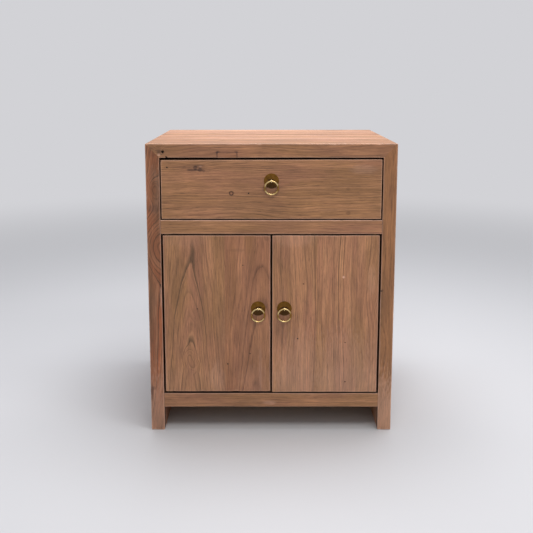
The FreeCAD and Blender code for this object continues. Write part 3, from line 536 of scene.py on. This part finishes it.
def wood_figure():
    """Growth rings of a ring-porous wood, cut by whatever face they meet.

    Rings are cylinders round the heart, a line that runs with the grain and may dive into the board. Their
    distance from it is warped in broad and small waves. Each ring starts with a dark line of open pores,
    which fainter wavy bands follow, and has its own strength. Fibres, pores, streaks and broad tones are
    noise stretched along the grain.
    """
    tree = bpy.data.node_groups.new("wood figure", "ShaderNodeTree")
    for way, kind, names in (
            ("INPUT", "Vector", ("Point", "Heart")),
            ("INPUT", "Float", ("Dive", "Ring", "Seed", "Push", "Stain", "Pale", "Olive shift",
                                "Line strength")),
            ("INPUT", "Color", ("Warm", "Olive", "Streak", "Line")),
            ("OUTPUT", "Color", ("Color",)), ("OUTPUT", "Float", ("Roughness", "Height"))):
        for name in names:
            tree.interface.new_socket(name, in_out=way, socket_type="NodeSocket" + kind)
    given = tree.nodes.new("NodeGroupInput").outputs
    result = tree.nodes.new("NodeGroupOutput")

    # Each board starts at another place in the noise
    apart = (97.3, 41.7, 63.1)
    apart = add(tree, "VectorMath", {"Vector": apart, "Scale": given["Seed"]}, operation="SCALE")
    spot = add(tree, "VectorMath", [given["Point"], apart])

    # Warp: up to 11 mm in waves 260 mm long and 70 wide, and up to 0.9 mm in waves 60 mm long and 12 wide
    broad = grain_noise(tree, spot, 260, 70, 1.5, 0.4)
    broad = add(tree, "VectorMath", [broad.outputs["Color"], (0, 22, 22), (0, -11, -11)],
                operation="MULTIPLY_ADD")
    small = grain_noise(tree, spot, 60, 12, 2)
    small = add(tree, "VectorMath", [small.outputs["Color"], (0, 1.8, 1.8), (0, -0.9, -0.9)],
                operation="MULTIPLY_ADD")
    warp = add(tree, "VectorMath", [broad, small])

    # Distance from the heart
    along = add(tree, "SeparateXYZ", [given["Point"]])
    dive = add(tree, "Math", [along.outputs["X"], given["Dive"]], operation="MULTIPLY")
    dive = add(tree, "CombineXYZ", {"Z": dive})
    from_heart = add(tree, "VectorMath", [given["Point"], given["Heart"]], operation="SUBTRACT")
    from_heart = add(tree, "VectorMath", [from_heart, dive], operation="SUBTRACT")
    from_heart = add(tree, "VectorMath", [from_heart, (0, 1, 1)], operation="MULTIPLY")
    from_heart = add(tree, "VectorMath", [from_heart, warp])
    far = add(tree, "VectorMath", [from_heart], operation="LENGTH")
    far = add(tree, "Math", [far, given["Push"]])

    # Rings: their spacing drifts by up to 1.8 rings over 21 mm, and each has its own strength
    years = add(tree, "Math", [far, given["Ring"]], operation="DIVIDE")
    lean = add(tree, "Math", [far, 1 / 21, given["Seed"]], operation="MULTIPLY_ADD")
    lean = add(tree, "TexNoise", {"W": lean, "Scale": 1, "Detail": 1}, noise_dimensions="1D")
    years = add(tree, "Math", [lean, 1.8, years], operation="MULTIPLY_ADD")
    year = add(tree, "Math", [years], operation="FLOOR")
    year = add(tree, "Math", [year, given["Seed"]])
    strength = add(tree, "TexWhiteNoise", {"W": year}, noise_dimensions="1D")
    strength = add(tree, "Math", [strength.outputs["Value"], 2.0], operation="POWER")
    strength = add(tree, "MapRange", [strength, 0, 1, 0.28, 1])
    season = add(tree, "Math", [years], operation="FRACT")
    start = add(tree, "MapRange", [season, 0, 0.07], interpolation_type="SMOOTHSTEP")
    fade = add(tree, "MapRange", [season, 0.07, 0.36, 1, 0], interpolation_type="SMOOTHSTEP")
    line = add(tree, "Math", [start, fade], operation="MULTIPLY")
    line = add(tree, "Math", [line, strength], operation="MULTIPLY")

    # The fine wavy lines of elm's late wood, 3.4 mm apart, broken up every 45 mm. Real ones are closer than
    # the picture shows, so they are drawn this coarse
    band = add(tree, "Math", [far, 2 * math.pi / 3.4], operation="MULTIPLY")
    band = add(tree, "Math", [band], operation="SINE")
    band = add(tree, "MapRange", [band, 0.2, 1])
    broken = grain_noise(tree, spot, 45, 9, 1)
    broken = add(tree, "MapRange", [broken, 0.4, 0.66])
    band = add(tree, "Math", [band, broken], operation="MULTIPLY")
    line = add(tree, "Math", [band, 0.42, line], operation="MULTIPLY_ADD")

    # Fibres 1.8 mm wide, as fine as the picture shows, though real ones are finer. Pores 0.9 by 14 mm
    laid = add(tree, "VectorMath", [spot, warp])
    fibre = grain_noise(tree, laid, 38, 1.8, 3, 0.7)
    pore = grain_noise(tree, laid, 14, 1 / 1.1, 1)
    pore = add(tree, "Math", [line, 0.12, pore], operation="MULTIPLY_ADD")
    pore = add(tree, "MapRange", [pore, 0.6, 0.75], interpolation_type="SMOOTHSTEP")

    # Light streaks about a ring deep that follow the rings for 150 mm, and tones 200 by 42 mm
    streak = add(tree, "CombineXYZ", {"X": along.outputs["X"], "Y": years, "Z": given["Seed"]})
    streak = add(tree, "VectorMath", [streak, (1 / 150, 0.9, 9.7)], operation="MULTIPLY")
    streak = add(tree, "TexNoise", {"Vector": streak, "Scale": 1, "Detail": 2.5, "Roughness": 0.6})
    streak = add(tree, "MapRange", [streak, 0.46, 0.72, 0, 0.8])
    tone = grain_noise(tree, spot, 200, 42, 2)
    tone = add(tree, "Math", [tone, given["Olive shift"]])
    tone = add(tree, "MapRange", [tone, 0.32, 0.68], interpolation_type="SMOOTHSTEP")

    # The ground colour with its lines, lighter and darker by fibre, pore and patches 110 by 26 mm
    colour = add(tree, "Mix", [tone, given["Warm"], given["Olive"]], data_type="RGBA")
    colour = add(tree, "Mix", [streak, colour, given["Streak"]], data_type="RGBA")
    dark = add(tree, "MapRange", [fibre, 0.3, 0.7, 0.75, 1.15])
    dark = add(tree, "Math", [dark, line], operation="MULTIPLY")
    dark = add(tree, "Math", [dark, given["Line strength"]], operation="MULTIPLY", use_clamp=True)
    colour = add(tree, "Mix", [dark, colour, given["Line"]], data_type="RGBA")
    shade = add(tree, "MapRange", [fibre, 0.25, 0.75, 0.66, 1.34])
    shade = add(tree, "Math", [pore, -0.3, shade], operation="MULTIPLY_ADD")
    patch = grain_noise(tree, spot, 110, 26, 2)
    patch = add(tree, "MapRange", [patch, 0.3, 0.7, 0.83, 1.17])
    shade = add(tree, "Math", [shade, patch], operation="MULTIPLY")
    colour = add(tree, "VectorMath", {"Vector": colour, "Scale": shade}, operation="SCALE")

    # Rubbed edges and pale spots are bare wood with a fainter grain. The edges' pallor is wear and also a
    # painted highlight. Over it go stains, among them a painted ring shadow, then soiled holes and painted
    # shade in gaps
    worn = add(tree, "Attribute", attribute_name="rubbed")
    worn = add(tree, "Math", [worn.outputs["Fac"], 1.6], operation="POWER")
    worn = add(tree, "Math", [worn, 0.7, given["Pale"]], operation="MULTIPLY_ADD", use_clamp=True)
    pale = add(tree, "Math", [shade, 0.6], operation="POWER")
    pale = add(tree, "VectorMath", {"Vector": linear("#DCAC92")[:3], "Scale": pale}, operation="SCALE")
    colour = add(tree, "Mix", [worn, colour, pale], data_type="RGBA")
    stain = add(tree, "Math", [given["Stain"], 0.92], operation="MULTIPLY", use_clamp=True)
    colour = add(tree, "Mix", [stain, colour, linear("#38211B")], data_type="RGBA")
    # Soiled holes and painted shade in gaps, both mixed in near black
    dirt_and_shade = add(tree, "Attribute", attribute_name="dirt_and_shade")
    dirt_and_shade = add(tree, "Math", [dirt_and_shade.outputs["Fac"], 0.96], operation="MULTIPLY")
    colour = add(tree, "Mix", [dirt_and_shade, colour, linear("#1F150F")], data_type="RGBA")

    # Waxed fibres shine a little, open pores and dark lines don't
    rough = add(tree, "MapRange", [fibre, 0.3, 0.7, 0.42, 0.56])
    rough = add(tree, "Math", [line, 0.14, rough], operation="MULTIPLY_ADD")
    height = add(tree, "Math", [line, -0.9, fibre], operation="MULTIPLY_ADD")
    height = add(tree, "Math", [pore, -0.8, height], operation="MULTIPLY_ADD")
    feed(tree, result, {"Color": colour, "Roughness": rough, "Height": height})
    return tree


FIGURE = wood_figure()

# Tones of old elm and of fir: pinkish ground, olive ground, light streaks, and the dark line of a ring
ELM = ("#AA7556", "#A3744C", "#C08A62", "#684C34")
PINK_ELM = ("#AC7556", "#A3714B", "#BC8561", "#704C38")
DARK_ELM = ("#A35D38", "#80563A", "#AE7B5A", "#48301F")
CALM_ELM = ("#9B6943", "#946641", "#A5724A", "#785435")
FIR = ("#CDA680", "#C49D76", "#DAB894", "#A27C57")


def spread(tree, place, spots, start, end, ragged=None):
    """The sum of soft spots ((x, y, z), (reach x, y, z), amount): full out to start reaches, none past end.

    ragged is noise that frays their edges.
    """
    total = None
    for spot, reach, amount in spots:
        scale = tuple(1 / length for length in reach)
        offset = tuple(-middle / length for middle, length in zip(spot, reach))
        near = add(tree, "VectorMath", [place, scale, offset], operation="MULTIPLY_ADD")
        near = add(tree, "VectorMath", [near], operation="LENGTH")
        if ragged:
            near = add(tree, "Math", [ragged, 1.1, near], operation="MULTIPLY_ADD")
        near = add(tree, "MapRange", [near, start, end, amount, 0], interpolation_type="SMOOTHSTEP")
        total = near if total is None else add(tree, "Math", [total, near])
    return total


def wood(name, grain, heart, ring, seed, tones=ELM, dive=0.0, lines=0.6, cast=(1, 1, 1), rings_pushed=(),
         stains=(), pale_spots=(), olive_spots=(), bold_spots=()):
    """Wood that was sawn, planed by hand and waxed: satin, with growth rings cut by the board's faces.

    grain names the axes along the grain, across it, and into the board. heart is where the rings' middle
    lies across and into, dive how fast it goes in, ring a ring's width. cast multiplies the tones. In the
    spots rings bend, wood is stained, pale or olive, or lines are bolder, all in millimetres.
    """
    material, tree, shader = new_material(name)
    place = millimetres(tree)
    axis = add(tree, "SeparateXYZ", [place])
    point = add(tree, "CombineXYZ", [axis.outputs[letter.upper()] for letter in grain])
    frayed = (1.0, 1.6, grain_noise(tree, point, 11, 2.6, 3))
    amounts = {}
    for socket, spots, shape in (("Push", rings_pushed, (0.0, 2.2)), ("Stain", stains, frayed),
                                 ("Pale", pale_spots, frayed), ("Olive shift", olive_spots, frayed)):
        if spots:
            amounts[socket] = spread(tree, place, spots, *shape)
    if bold_spots:
        lines = add(tree, "Math", [spread(tree, place, bold_spots, *frayed), lines])
    warm, olive, streak, line = (tuple(np.array(linear(tone)) * (*cast, 1)) for tone in tones)
    figure = add(tree, "Group", {
        "Point": point, "Heart": (0, *heart), "Dive": dive, "Ring": ring, "Seed": seed,
        "Line strength": lines, "Warm": warm, "Olive": olive, "Streak": streak, "Line": line, **amounts,
    }, node_tree=FIGURE)
    bump = add(tree, "Bump", {"Strength": 0.35, "Distance": 0.00012, "Height": figure.outputs["Height"]})
    feed(tree, shader, {"Base Color": figure.outputs["Color"], "Roughness": figure.outputs["Roughness"],
                        "Normal": bump})
    return material


def on(face, *marks):
    """Spots on a board's front, from (x, z, reach x, reach z, amount), and reach y where it isn't 6 mm."""
    return [((x, face, z), (wide, deep[0] if deep else 6, high), amount)
            for x, z, wide, high, amount, *deep in marks]


def finish_with(material, *names):
    """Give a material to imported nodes, or to the worn pieces that stand for them."""
    for name in names:
        piece = bpy.data.objects.get("worn_" + name) or frame["nodes"][name]
        if not piece.material_slots:
            piece.data.materials.append(material)
        for slot in piece.material_slots:
            slot.material = material


RINGS = ("drawer_pull_ring", "left_door_pull_ring", "right_door_pull_ring")
RING_MIDDLES = [sum(limits(ring)) / 2 for ring in RINGS]
RING_REACH = (limits(RINGS[0])[1][0] - limits(RINGS[0])[0][0]) / 2
# Painted shadow of each ring on the wood behind and below it, which also stands for soiling by hands
RING_SHADOW_AND_GRIME = [(middle + (0, 0, -2), (22, 14, 20), 0.17) for middle in RING_MIDDLES]

# Left door, outer board: old elm, flat-sawn, planed by hand and waxed. The eye gets a satin board with tall
# brown arches over a heart that dives away downwards, and a swirl near the foot
finish_with(wood("elm_left_door_outer", "zxy", (-163, DOOR_FACE + 36.1), 4.8, 9.1, dive=0.08, lines=0.95,
                 rings_pushed=on(DOOR_FACE, (-169, 158, 9, 13, -9, 30), (-158, 140, 8, 9, -7, 30)),
                 stains=on(DOOR_FACE, (-187, 168, 12, 16, 0.16), (-204, 120, 5, 22, 0.18),
                           (-167, 222, 6, 15, 0.2)),
                 pale_spots=on(DOOR_FACE, (-112, 112, 18, 46, 0.16, 8), (-160, 100, 110, 46, 0.07, 12),
                               (-180, 410, 60, 26, 0.08, 12))),
            "left_door_outer_board")
# Left door, inner board: the same elm, cut beside the heart, so a pinker, calmer board with upright lines
finish_with(wood("elm_left_door_inner", "zxy", (-20, DOOR_FACE + 75), 5.5, 13.7, PINK_ELM, dive=0.04,
                 lines=0.65, cast=(0.93, 0.91, 0.91),
                 stains=RING_SHADOW_AND_GRIME + on(DOOR_FACE, (-73, 200, 7, 26, 0.2), (-48, 290, 10, 50, 0.1),
                                        (-70, 385, 22, 4, 0.16)),
                 pale_spots=on(DOOR_FACE, (-22, 130, 4, 70, 0.16), (-30, 105, 46, 50, 0.12, 12))),
            "left_door_inner_board")
# Right door: elm of wide rings, planed, waxed and rubbed paler. The eye gets straight, wide-set lines, a
# dark crack by the free edge, and on the outer board a pale knock and rings that bend round a branch
finish_with(wood("elm_right_door_inner", "zxy", (-40, DOOR_FACE + 70), 9.0, 18.9, lines=0.85,
                 cast=(1.08, 1.08, 1.09),
                 stains=RING_SHADOW_AND_GRIME + on(DOOR_FACE, (22, 200, 2, 22, 0.3, 5), (22.6, 196, 1.2, 12, 0.3, 5)),
                 pale_spots=on(DOOR_FACE, (60, 110, 70, 130, 0.2, 12), (40, 105, 70, 44, 0.1, 12),
                               (50, 412, 60, 24, 0.16, 12))),
            "right_door_inner_board")
finish_with(wood("elm_right_door_outer", "zxy", (20, DOOR_FACE + 80), 9.5, 31.3, lines=0.85,
                 cast=(1.08, 1.08, 1.09), rings_pushed=on(DOOR_FACE, (216, 303, 16, 40, 14, 30)),
                 pale_spots=on(DOOR_FACE, (146.8, 329, 3, 3, 0.9, 4), (150, 110, 100, 130, 0.2, 12),
                               (150, 105, 100, 44, 0.1, 12), (204, 320, 10, 40, 0.14))),
            "right_door_outer_board")
# Drawer front: slow-grown elm, planed and waxed. The eye gets close, level lines and, at the upper left, a
# bruise: eight ragged strokes over rings that bend
finish_with(wood("elm_drawer_front", "xzy", (440, DRAWER_FACE + 60), 2.8, 23.9, lines=0.8,
                 rings_pushed=on(DRAWER_FACE, (-153, 553, 26, 10, 6, 30)),
                 stains=RING_SHADOW_AND_GRIME + on(
                     DRAWER_FACE, (-141.5, 548.6, 6, 5, 0.62), (-151, 552.4, 5.5, 5, 0.55),
                     (-158, 547.6, 13, 2.8, 0.5), (-146, 556.4, 14, 2.2, 0.3), (-134.5, 545.5, 3.5, 4, 0.4),
                     (-152, 551, 30, 12, 0.24), (-188, 553.4, 34, 1.8, 0.42), (-176, 549.6, 22, 1.4, 0.22),
                     (154, 461, 6, 5, 0.35), (153, 510, 5, 4, 0.25)),
                 pale_spots=on(DRAWER_FACE, (184, 549, 34, 12, 0.2, 8), (-141, 555, 4, 2.2, 0.5)),
                 olive_spots=on(DRAWER_FACE, (120, 500, 110, 80, 0.2, 60), (-150, 480, 90, 60, -0.12, 60))),
            "drawer_front")
# Rails: narrow planed elm. The eye gets plain level grain, and on the upper one a pale line along the top
# edge, a painted highlight where its arris catches the light
RAIL_TOP = limits("middle_rail")[1][2]
finish_with(wood("elm_middle_rail", "xzy", (300, DRAWER_FACE + 40), 4.0, 29.3,
                 pale_spots=on(FRONT, (0, RAIL_TOP, 420, 2.6, 0.8, 4))), "middle_rail")
finish_with(wood("elm_bottom_rail", "xzy", (150, DRAWER_FACE + 50), 4.0, 31.7,
                 pale_spots=on(DRAWER_FACE, (-3, 60, 16, 6, 0.35, 8))), "bottom_rail")
# Top: wide elm boards, planed, waxed and wiped for years. The eye gets bold arched grain under long bands,
# pale where it was rubbed most, and in the front edge a glue line round the patch and stains by old holes
TOP_BANDS = {
    "pale_spots": [((0, 10, TOP), (420, 15, 6), 0.5), ((40, -60, TOP), (380, 34, 6), 0.3),
                   ((-60, 185, TOP), (330, 14, 6), 0.35), ((0, 130, TOP), (460, 90, 6), 0.26)],
    "stains": [((0, 115, TOP), (420, 26, 6), 0.05), ((-40, 42, TOP), (330, 9, 6), 0.1),
               ((0, -180, TOP), (420, 24, 6), 0.12), ((0, -125, TOP), (460, 46, 6), 0.05)],
}
PATCH_LOW, PATCH_HIGH = limits("top_edge_patch")
PATCH_MIDDLE, PATCH_RISE = (PATCH_LOW + PATCH_HIGH) / 2, PATCH_HIGH[2] - PATCH_LOW[2]
TOP_EDGE = {
    "stains": TOP_BANDS["stains"] + on(
        FRONT, (PATCH_LOW[0] - 1, PATCH_MIDDLE[2], 2.4, PATCH_RISE, 0.6),
        (PATCH_HIGH[0] + 1, PATCH_MIDDLE[2], 2.4, PATCH_RISE, 0.6),
        (PATCH_LOW[0], PATCH_HIGH[2] + 1, 5, 3.4, 0.5), (PATCH_HIGH[0], PATCH_HIGH[2] + 1, 5, 3.4, 0.5),
        (PATCH_MIDDLE[0], PATCH_HIGH[2] + 1, 34, 2, 0.5), (-238, 592, 10, 12, 0.34),
        (-224, 588, 8, 9, 0.3), (-226, 601, 12, 3, 0.35), (-221, 583, 9, 6, 0.4)),
    "pale_spots": TOP_BANDS["pale_spots"] + on(FRONT, (-222.6, 578, 3.4, 3.6, 0.8)),
    "rings_pushed": on(FRONT, (-223, 598, 7, 8, 16, 30)),
}
# Sides: elm slabs, planed and waxed. The eye gets a dark red left one with arches, a crack's stain near the
# foot and an oval scar, a calm brown right one, and feet paler from mops and shoes
SIDE_MARKS = {
    "left_side_board_front": {
        "rings_pushed": on(FRONT, (-236, 508, 10, 20, -12, 40), (-236, 395, 70, 42, -24, 60)),
        "stains": on(FRONT, (-236, 582, 14, 12, 0.25), (-236, 470, 16, 10, 0.3), (-247, 82, 4, 24, 0.6),
                     (-243, 92, 5, 5, 0.4)),
        "pale_spots": on(FRONT, (-236, -20, 60, 170, 0.34, 60), (-224, 288, 3.4, 24, 0.3),
                         (-236, 506, 14, 48, 0.3, 9), (-236, 505, 11.6, 42, -0.3, 9)),
        "bold_spots": on(FRONT, (-236, 300, 60, 900, 0.6, 8)),
        "dive": 0.1,
    },
    "right_side_board_front": {
        "stains": on(FRONT, (236, 506, 1.4, 20, 0.3), (240, 476, 1.4, 18, 0.3), (226, 301, 2.2, 3, 0.6)),
        "pale_spots": on(FRONT, (236, -20, 60, 170, 0.46, 60), (222, 268, 1.5, 32, 0.8)),
    },
}
for number, board in enumerate(("front", "middle", "back")):
    middle = sum(limits(f"top_board_{board}"))[1] / 2
    finish_with(wood(f"elm_top_{board}", "xyz", (middle - 20 + 30 * number, 520), 5.0, 37.1 + number * 5.3,
                     lines=0.95, cast=(0.93, 0.92, 0.92), dive=0.02,
                     **(TOP_EDGE if board == "front" else TOP_BANDS)), f"top_board_{board}")
    for side, into, seed, tones in (("left", -180, 51.3, DARK_ELM), ("right", 190, 71.9, CALM_ELM)):
        node = f"{side}_side_board_{board}"
        marks = {"dive": 0.04, **SIDE_MARKS.get(node, {})}
        finish_with(wood(f"elm_{side}_side_{board}", "zyx", (middle + 25 - 40 * number, into), 4.2,
                         seed + number * 4.7, tones, lines=0.5, **marks), node)
# Repairs: a plug and a patch of browner elm, glued in and planed flush. The eye finds them by their colour,
# and the plug by a ring of dark glue
PLUG = sum(limits("drawer_front_plug")) / 2 * (1, 0, 1) + (0, DRAWER_FACE, 0)
finish_with(wood("elm_repair", "xzy", (300, -150), 4.0, 91.3, cast=(0.9, 0.86, 0.85),
                 stains=[(PLUG, (5.6, 9, 5.6), 1.1), (PLUG, (3.4, 9, 3.4), -1.1)]),
            "drawer_front_plug", "edge_patch")
# Fir, sawn thin and planed. The eye gets paler, yellower wood: boards with broad arches in the back, the
# cupboard floor and the drawer bottom, and plain straight strips
for number, (node, grain, heart) in enumerate((
        ("back_board_left", "zxy", (-150, 225)), ("back_board_middle", "zxy", (60, 150)),
        ("back_board_right", "zxy", (130, 245)), ("floor_board_front", "xyz", (-60, 30)),
        ("floor_board_back", "xyz", (90, 150)), ("drawer_bottom", "xyz", (20, 400)))):
    finish_with(wood(f"fir_{node}", grain, heart, 4.6, 95.9 + 3.1 * number, FIR, dive=0.05, lines=0.7), node)
for name, grain, into, seed, nodes in (
        ("drawer_sides", "yzx", 150, 103.7, ("drawer_side_left", "drawer_side_right")),
        ("drawer_back", "xzy", 90, 107.7, ("drawer_back",)),
        ("rails", "xzy", 90, 111.7, ("back_middle_rail", "back_bottom_rail", "left_door_battens",
                                     "right_door_battens", "mitre_splines")),
        ("runners", "yzx", 90, 113.7, ("drawer_runner_left", "drawer_runner_right", "floor_cleats",
                                       "drawer_stops"))):
    finish_with(wood("fir_" + name, grain, (420, into), 5.0, seed, FIR), *nodes)


def smooth(name, tones, metallic, roughness, cloud_size, dull=None, tarnish_and_shade_spots=()):
    """A metal, or another hard and smooth material, with an uneven skin.

    Two tones lie in clouds of a size in millimetres, and scratches 0.25 mm apart, as fine as a close look
    shows, vary the gloss. In the dull spots the skin is darker and duller: tarnish where no finger rubs,
    with painted shade on the plates and a painted dark reflection at the rings' sides.
    """
    material, tree, shader = new_material(name)
    place = millimetres(tree)
    cloud = add(tree, "TexNoise", {"Vector": place, "Scale": 1 / cloud_size, "Detail": 3, "Roughness": 0.6})
    fine = add(tree, "TexNoise", {"Vector": place, "Scale": 1 / 0.25, "Detail": 2})
    mottle = add(tree, "MapRange", [cloud, 0.35, 0.65])
    colour = add(tree, "Mix", [mottle, linear(tones[0]), linear(tones[1])], data_type="RGBA")
    rough = add(tree, "MapRange", [fine, 0.3, 0.7, roughness * 0.8, roughness * 1.25])
    if tarnish_and_shade_spots:
        skin = spread(tree, place, tarnish_and_shade_spots, 1.1, 1.75, cloud)
        colour = add(tree, "Mix", [skin, colour, linear(dull)], data_type="RGBA")
        rough = add(tree, "Math", [skin, 0.12, rough], operation="MULTIPLY_ADD")
    bump = add(tree, "Bump", {"Strength": 0.3, "Distance": 0.0001, "Height": mottle})
    feed(tree, shader, {"Base Color": colour, "Metallic": metallic, "Roughness": rough, "Normal": bump})
    return material


# Plates: sheet brass, stamped to a dome and antiqued with acid. The eye gets a dark satin disc, browner
# inside the ring and at the pin: antiquing, and painted shade where the ring and pin shade the plate, so
# that the ring stands out
PLATE_SHADE_AND_PATINA = ((2, RING_REACH * 0.8, RING_REACH * 0.7, 0.72), (RING_REACH, 7, 3, 0.8))
finish_with(smooth("antiqued_brass", ("#66471F", "#7E5826"), 1.0, 0.42, 5, dull="#35261C",
                   tarnish_and_shade_spots=[(middle + (0, 0, rise), (wide, 20, high), amount)
                               for middle in RING_MIDDLES for rise, wide, high, amount in PLATE_SHADE_AND_PATINA]),
            "drawer_pull_plate", "left_door_pull_plate", "right_door_pull_plate")
# Rings: drawn brass wire, bent, soldered and polished by fingers. The eye gets warm bright glints above and
# below, and at the sides a golden brown painted darker, as tarnish and as a painted dark reflection
finish_with(smooth("rubbed_brass", ("#BE9E64", "#DCC28C"), 1.0, 0.2, 9, dull="#8A6226",
                   tarnish_and_shade_spots=[(middle + (way * RING_REACH, 0, -2), (5, 12, 8), 0.9)
                               for middle in RING_MIDDLES for way in (-1, 1)]), *RINGS)
# Split pins: drawn brass wire, folded and left bright, so a small pale glint holds each ring
finish_with(smooth("bright_brass", ("#DCC48C", "#ECDCB0"), 1.0, 0.17, 3),
            "drawer_pull_pin", "left_door_pull_pin", "right_door_pull_pin")
# Pivots: brass turned on a lathe and gone dull, seen as dark dots when a door is open
finish_with(smooth("darkened_turned_brass", ("#4A3A20", "#5E4A2A"), 1.0, 0.45, 3),
            "pivot_bushes", "left_door_pivot_pins", "right_door_pivot_pins")
# Screws and strikes: steel, cold-headed and zinc-plated, so cool grey spots with a soft sheen
finish_with(smooth("zinc_plated_steel", ("#A9A9A6", "#C2C2BF"), 1.0, 0.35, 3),
            "back_screws", "side_screws", "catch_screws", "drawer_bottom_screws", "left_door_screws",
            "right_door_screws", "left_door_strike", "right_door_strike")
# Catch: pressed and fired ferrite magnets, dull dark grey, in moulded brown nylon with an even, soft gloss
finish_with(smooth("ferrite_magnet", ("#3B3B3D", "#4A4A4C"), 0.6, 0.5, 3), "catch_magnets")
finish_with(smooth("moulded_nylon", ("#4A3A2C", "#54422F"), 0.0, 0.5, 2), "catch_body")


# The room

BACKDROP = linear("#D2D2D6")


def seen_directly(tree):
    """1 for rays from the camera and for those that mirror or pass through, which see the backdrop."""
    path = add(tree, "LightPath")
    total = add(tree, "Math", [path.outputs["Is Camera Ray"], path.outputs["Is Glossy Ray"]])
    return add(tree, "Math", [total, path.outputs["Is Transmission Ray"]], use_clamp=True)


def pale_floor():
    """A flat floor that takes the object's shadow and turns into the backdrop's colour far away."""
    reach = 12.0
    mesh = bpy.data.meshes.new("floor")
    mesh.from_pydata([(-reach, -reach, 0), (reach, -reach, 0), (reach, reach, 0), (-reach, reach, 0)],
                     [], [(0, 1, 2, 3)])
    floor = bpy.data.objects.new("floor", mesh)
    bpy.context.scene.collection.objects.link(floor)
    # Matt paint, rolled on a flat board: a plain pale grey that shows nothing but the shadow
    material, tree, shader = new_material("painted_floor")
    feed(tree, shader, {"Base Color": linear("#CFCFD2"), "Roughness": 0.7, "Specular IOR Level": 0.2})
    place = add(tree, "TexCoord")
    away = add(tree, "VectorMath", [place.outputs["Object"]], operation="LENGTH")
    fade = add(tree, "MapRange", [away, 0.9, 3.2], interpolation_type="SMOOTHSTEP")
    fade = add(tree, "Math", [fade, seen_directly(tree)], operation="MULTIPLY")
    glow = add(tree, "Emission", {"Color": BACKDROP, "Strength": 1})
    both = add(tree, "MixShader", [fade, shader, glow])
    feed(tree, tree.nodes["Material Output"], [both])
    mesh.materials.append(material)


def surround():
    """The world: dim soft light for the object, and the backdrop's colour where it is seen."""
    world = bpy.data.worlds.new("surround")
    world.use_nodes = True
    tree = world.node_tree
    tree.nodes.clear()
    light = add(tree, "Background", {"Color": (0.95, 0.97, 1.0, 1), "Strength": 0.25})
    seen = add(tree, "Background", {"Color": BACKDROP, "Strength": 1})
    both = add(tree, "MixShader", [seen_directly(tree), light, seen])
    add(tree, "OutputWorld", [both])
    bpy.context.scene.world = world


def softbox(name, place, aim, width, height, power, colour):
    """A rectangular lamp at a place, facing a point."""
    lamp = bpy.data.lights.new(name, "AREA")
    lamp.shape = "RECTANGLE"
    lamp.size, lamp.size_y = width, height
    lamp.energy = power
    lamp.color = colour
    holder = bpy.data.objects.new(name, lamp)
    way = np.array(aim) - np.array(place)
    holder.location = place
    holder.rotation_euler = (math.acos(-way[2] / np.linalg.norm(way)), 0, math.atan2(-way[0], way[1]))
    bpy.context.scene.collection.objects.link(holder)


def camera():
    """The photograph's view: just above the top, a little left of the middle, looking slightly down."""
    view = bpy.data.cameras.new("camera")
    view.sensor_width = 36
    view.lens = 51.02
    view.shift_x, view.shift_y = 0.0046, -0.13
    eye = bpy.data.objects.new("camera", view)
    eye.location = (-0.0147, -1.6826, 0.7293)
    eye.rotation_euler = (math.radians(90 - 9.02), 0, 0)
    bpy.context.scene.collection.objects.link(eye)
    bpy.context.scene.camera = eye


pale_floor()
surround()
softbox("key softbox", (0.55, -1.35, 2.3), (0.0, -0.1, 0.35), 2.4, 0.45, 24.5, (1.0, 0.985, 0.96))
softbox("overhead softbox", (0.1, 0.25, 2.3), (0.0, 0.1, 0.5), 1.6, 1.2, 48, (0.97, 0.975, 1.0))
softbox("front fill", (0.2, -2.9, 2.1), (0.0, 0.0, 0.3), 2.6, 1.2, 9, (1.0, 0.99, 0.97))
camera()
bpy.context.scene.view_settings.view_transform = "Standard"
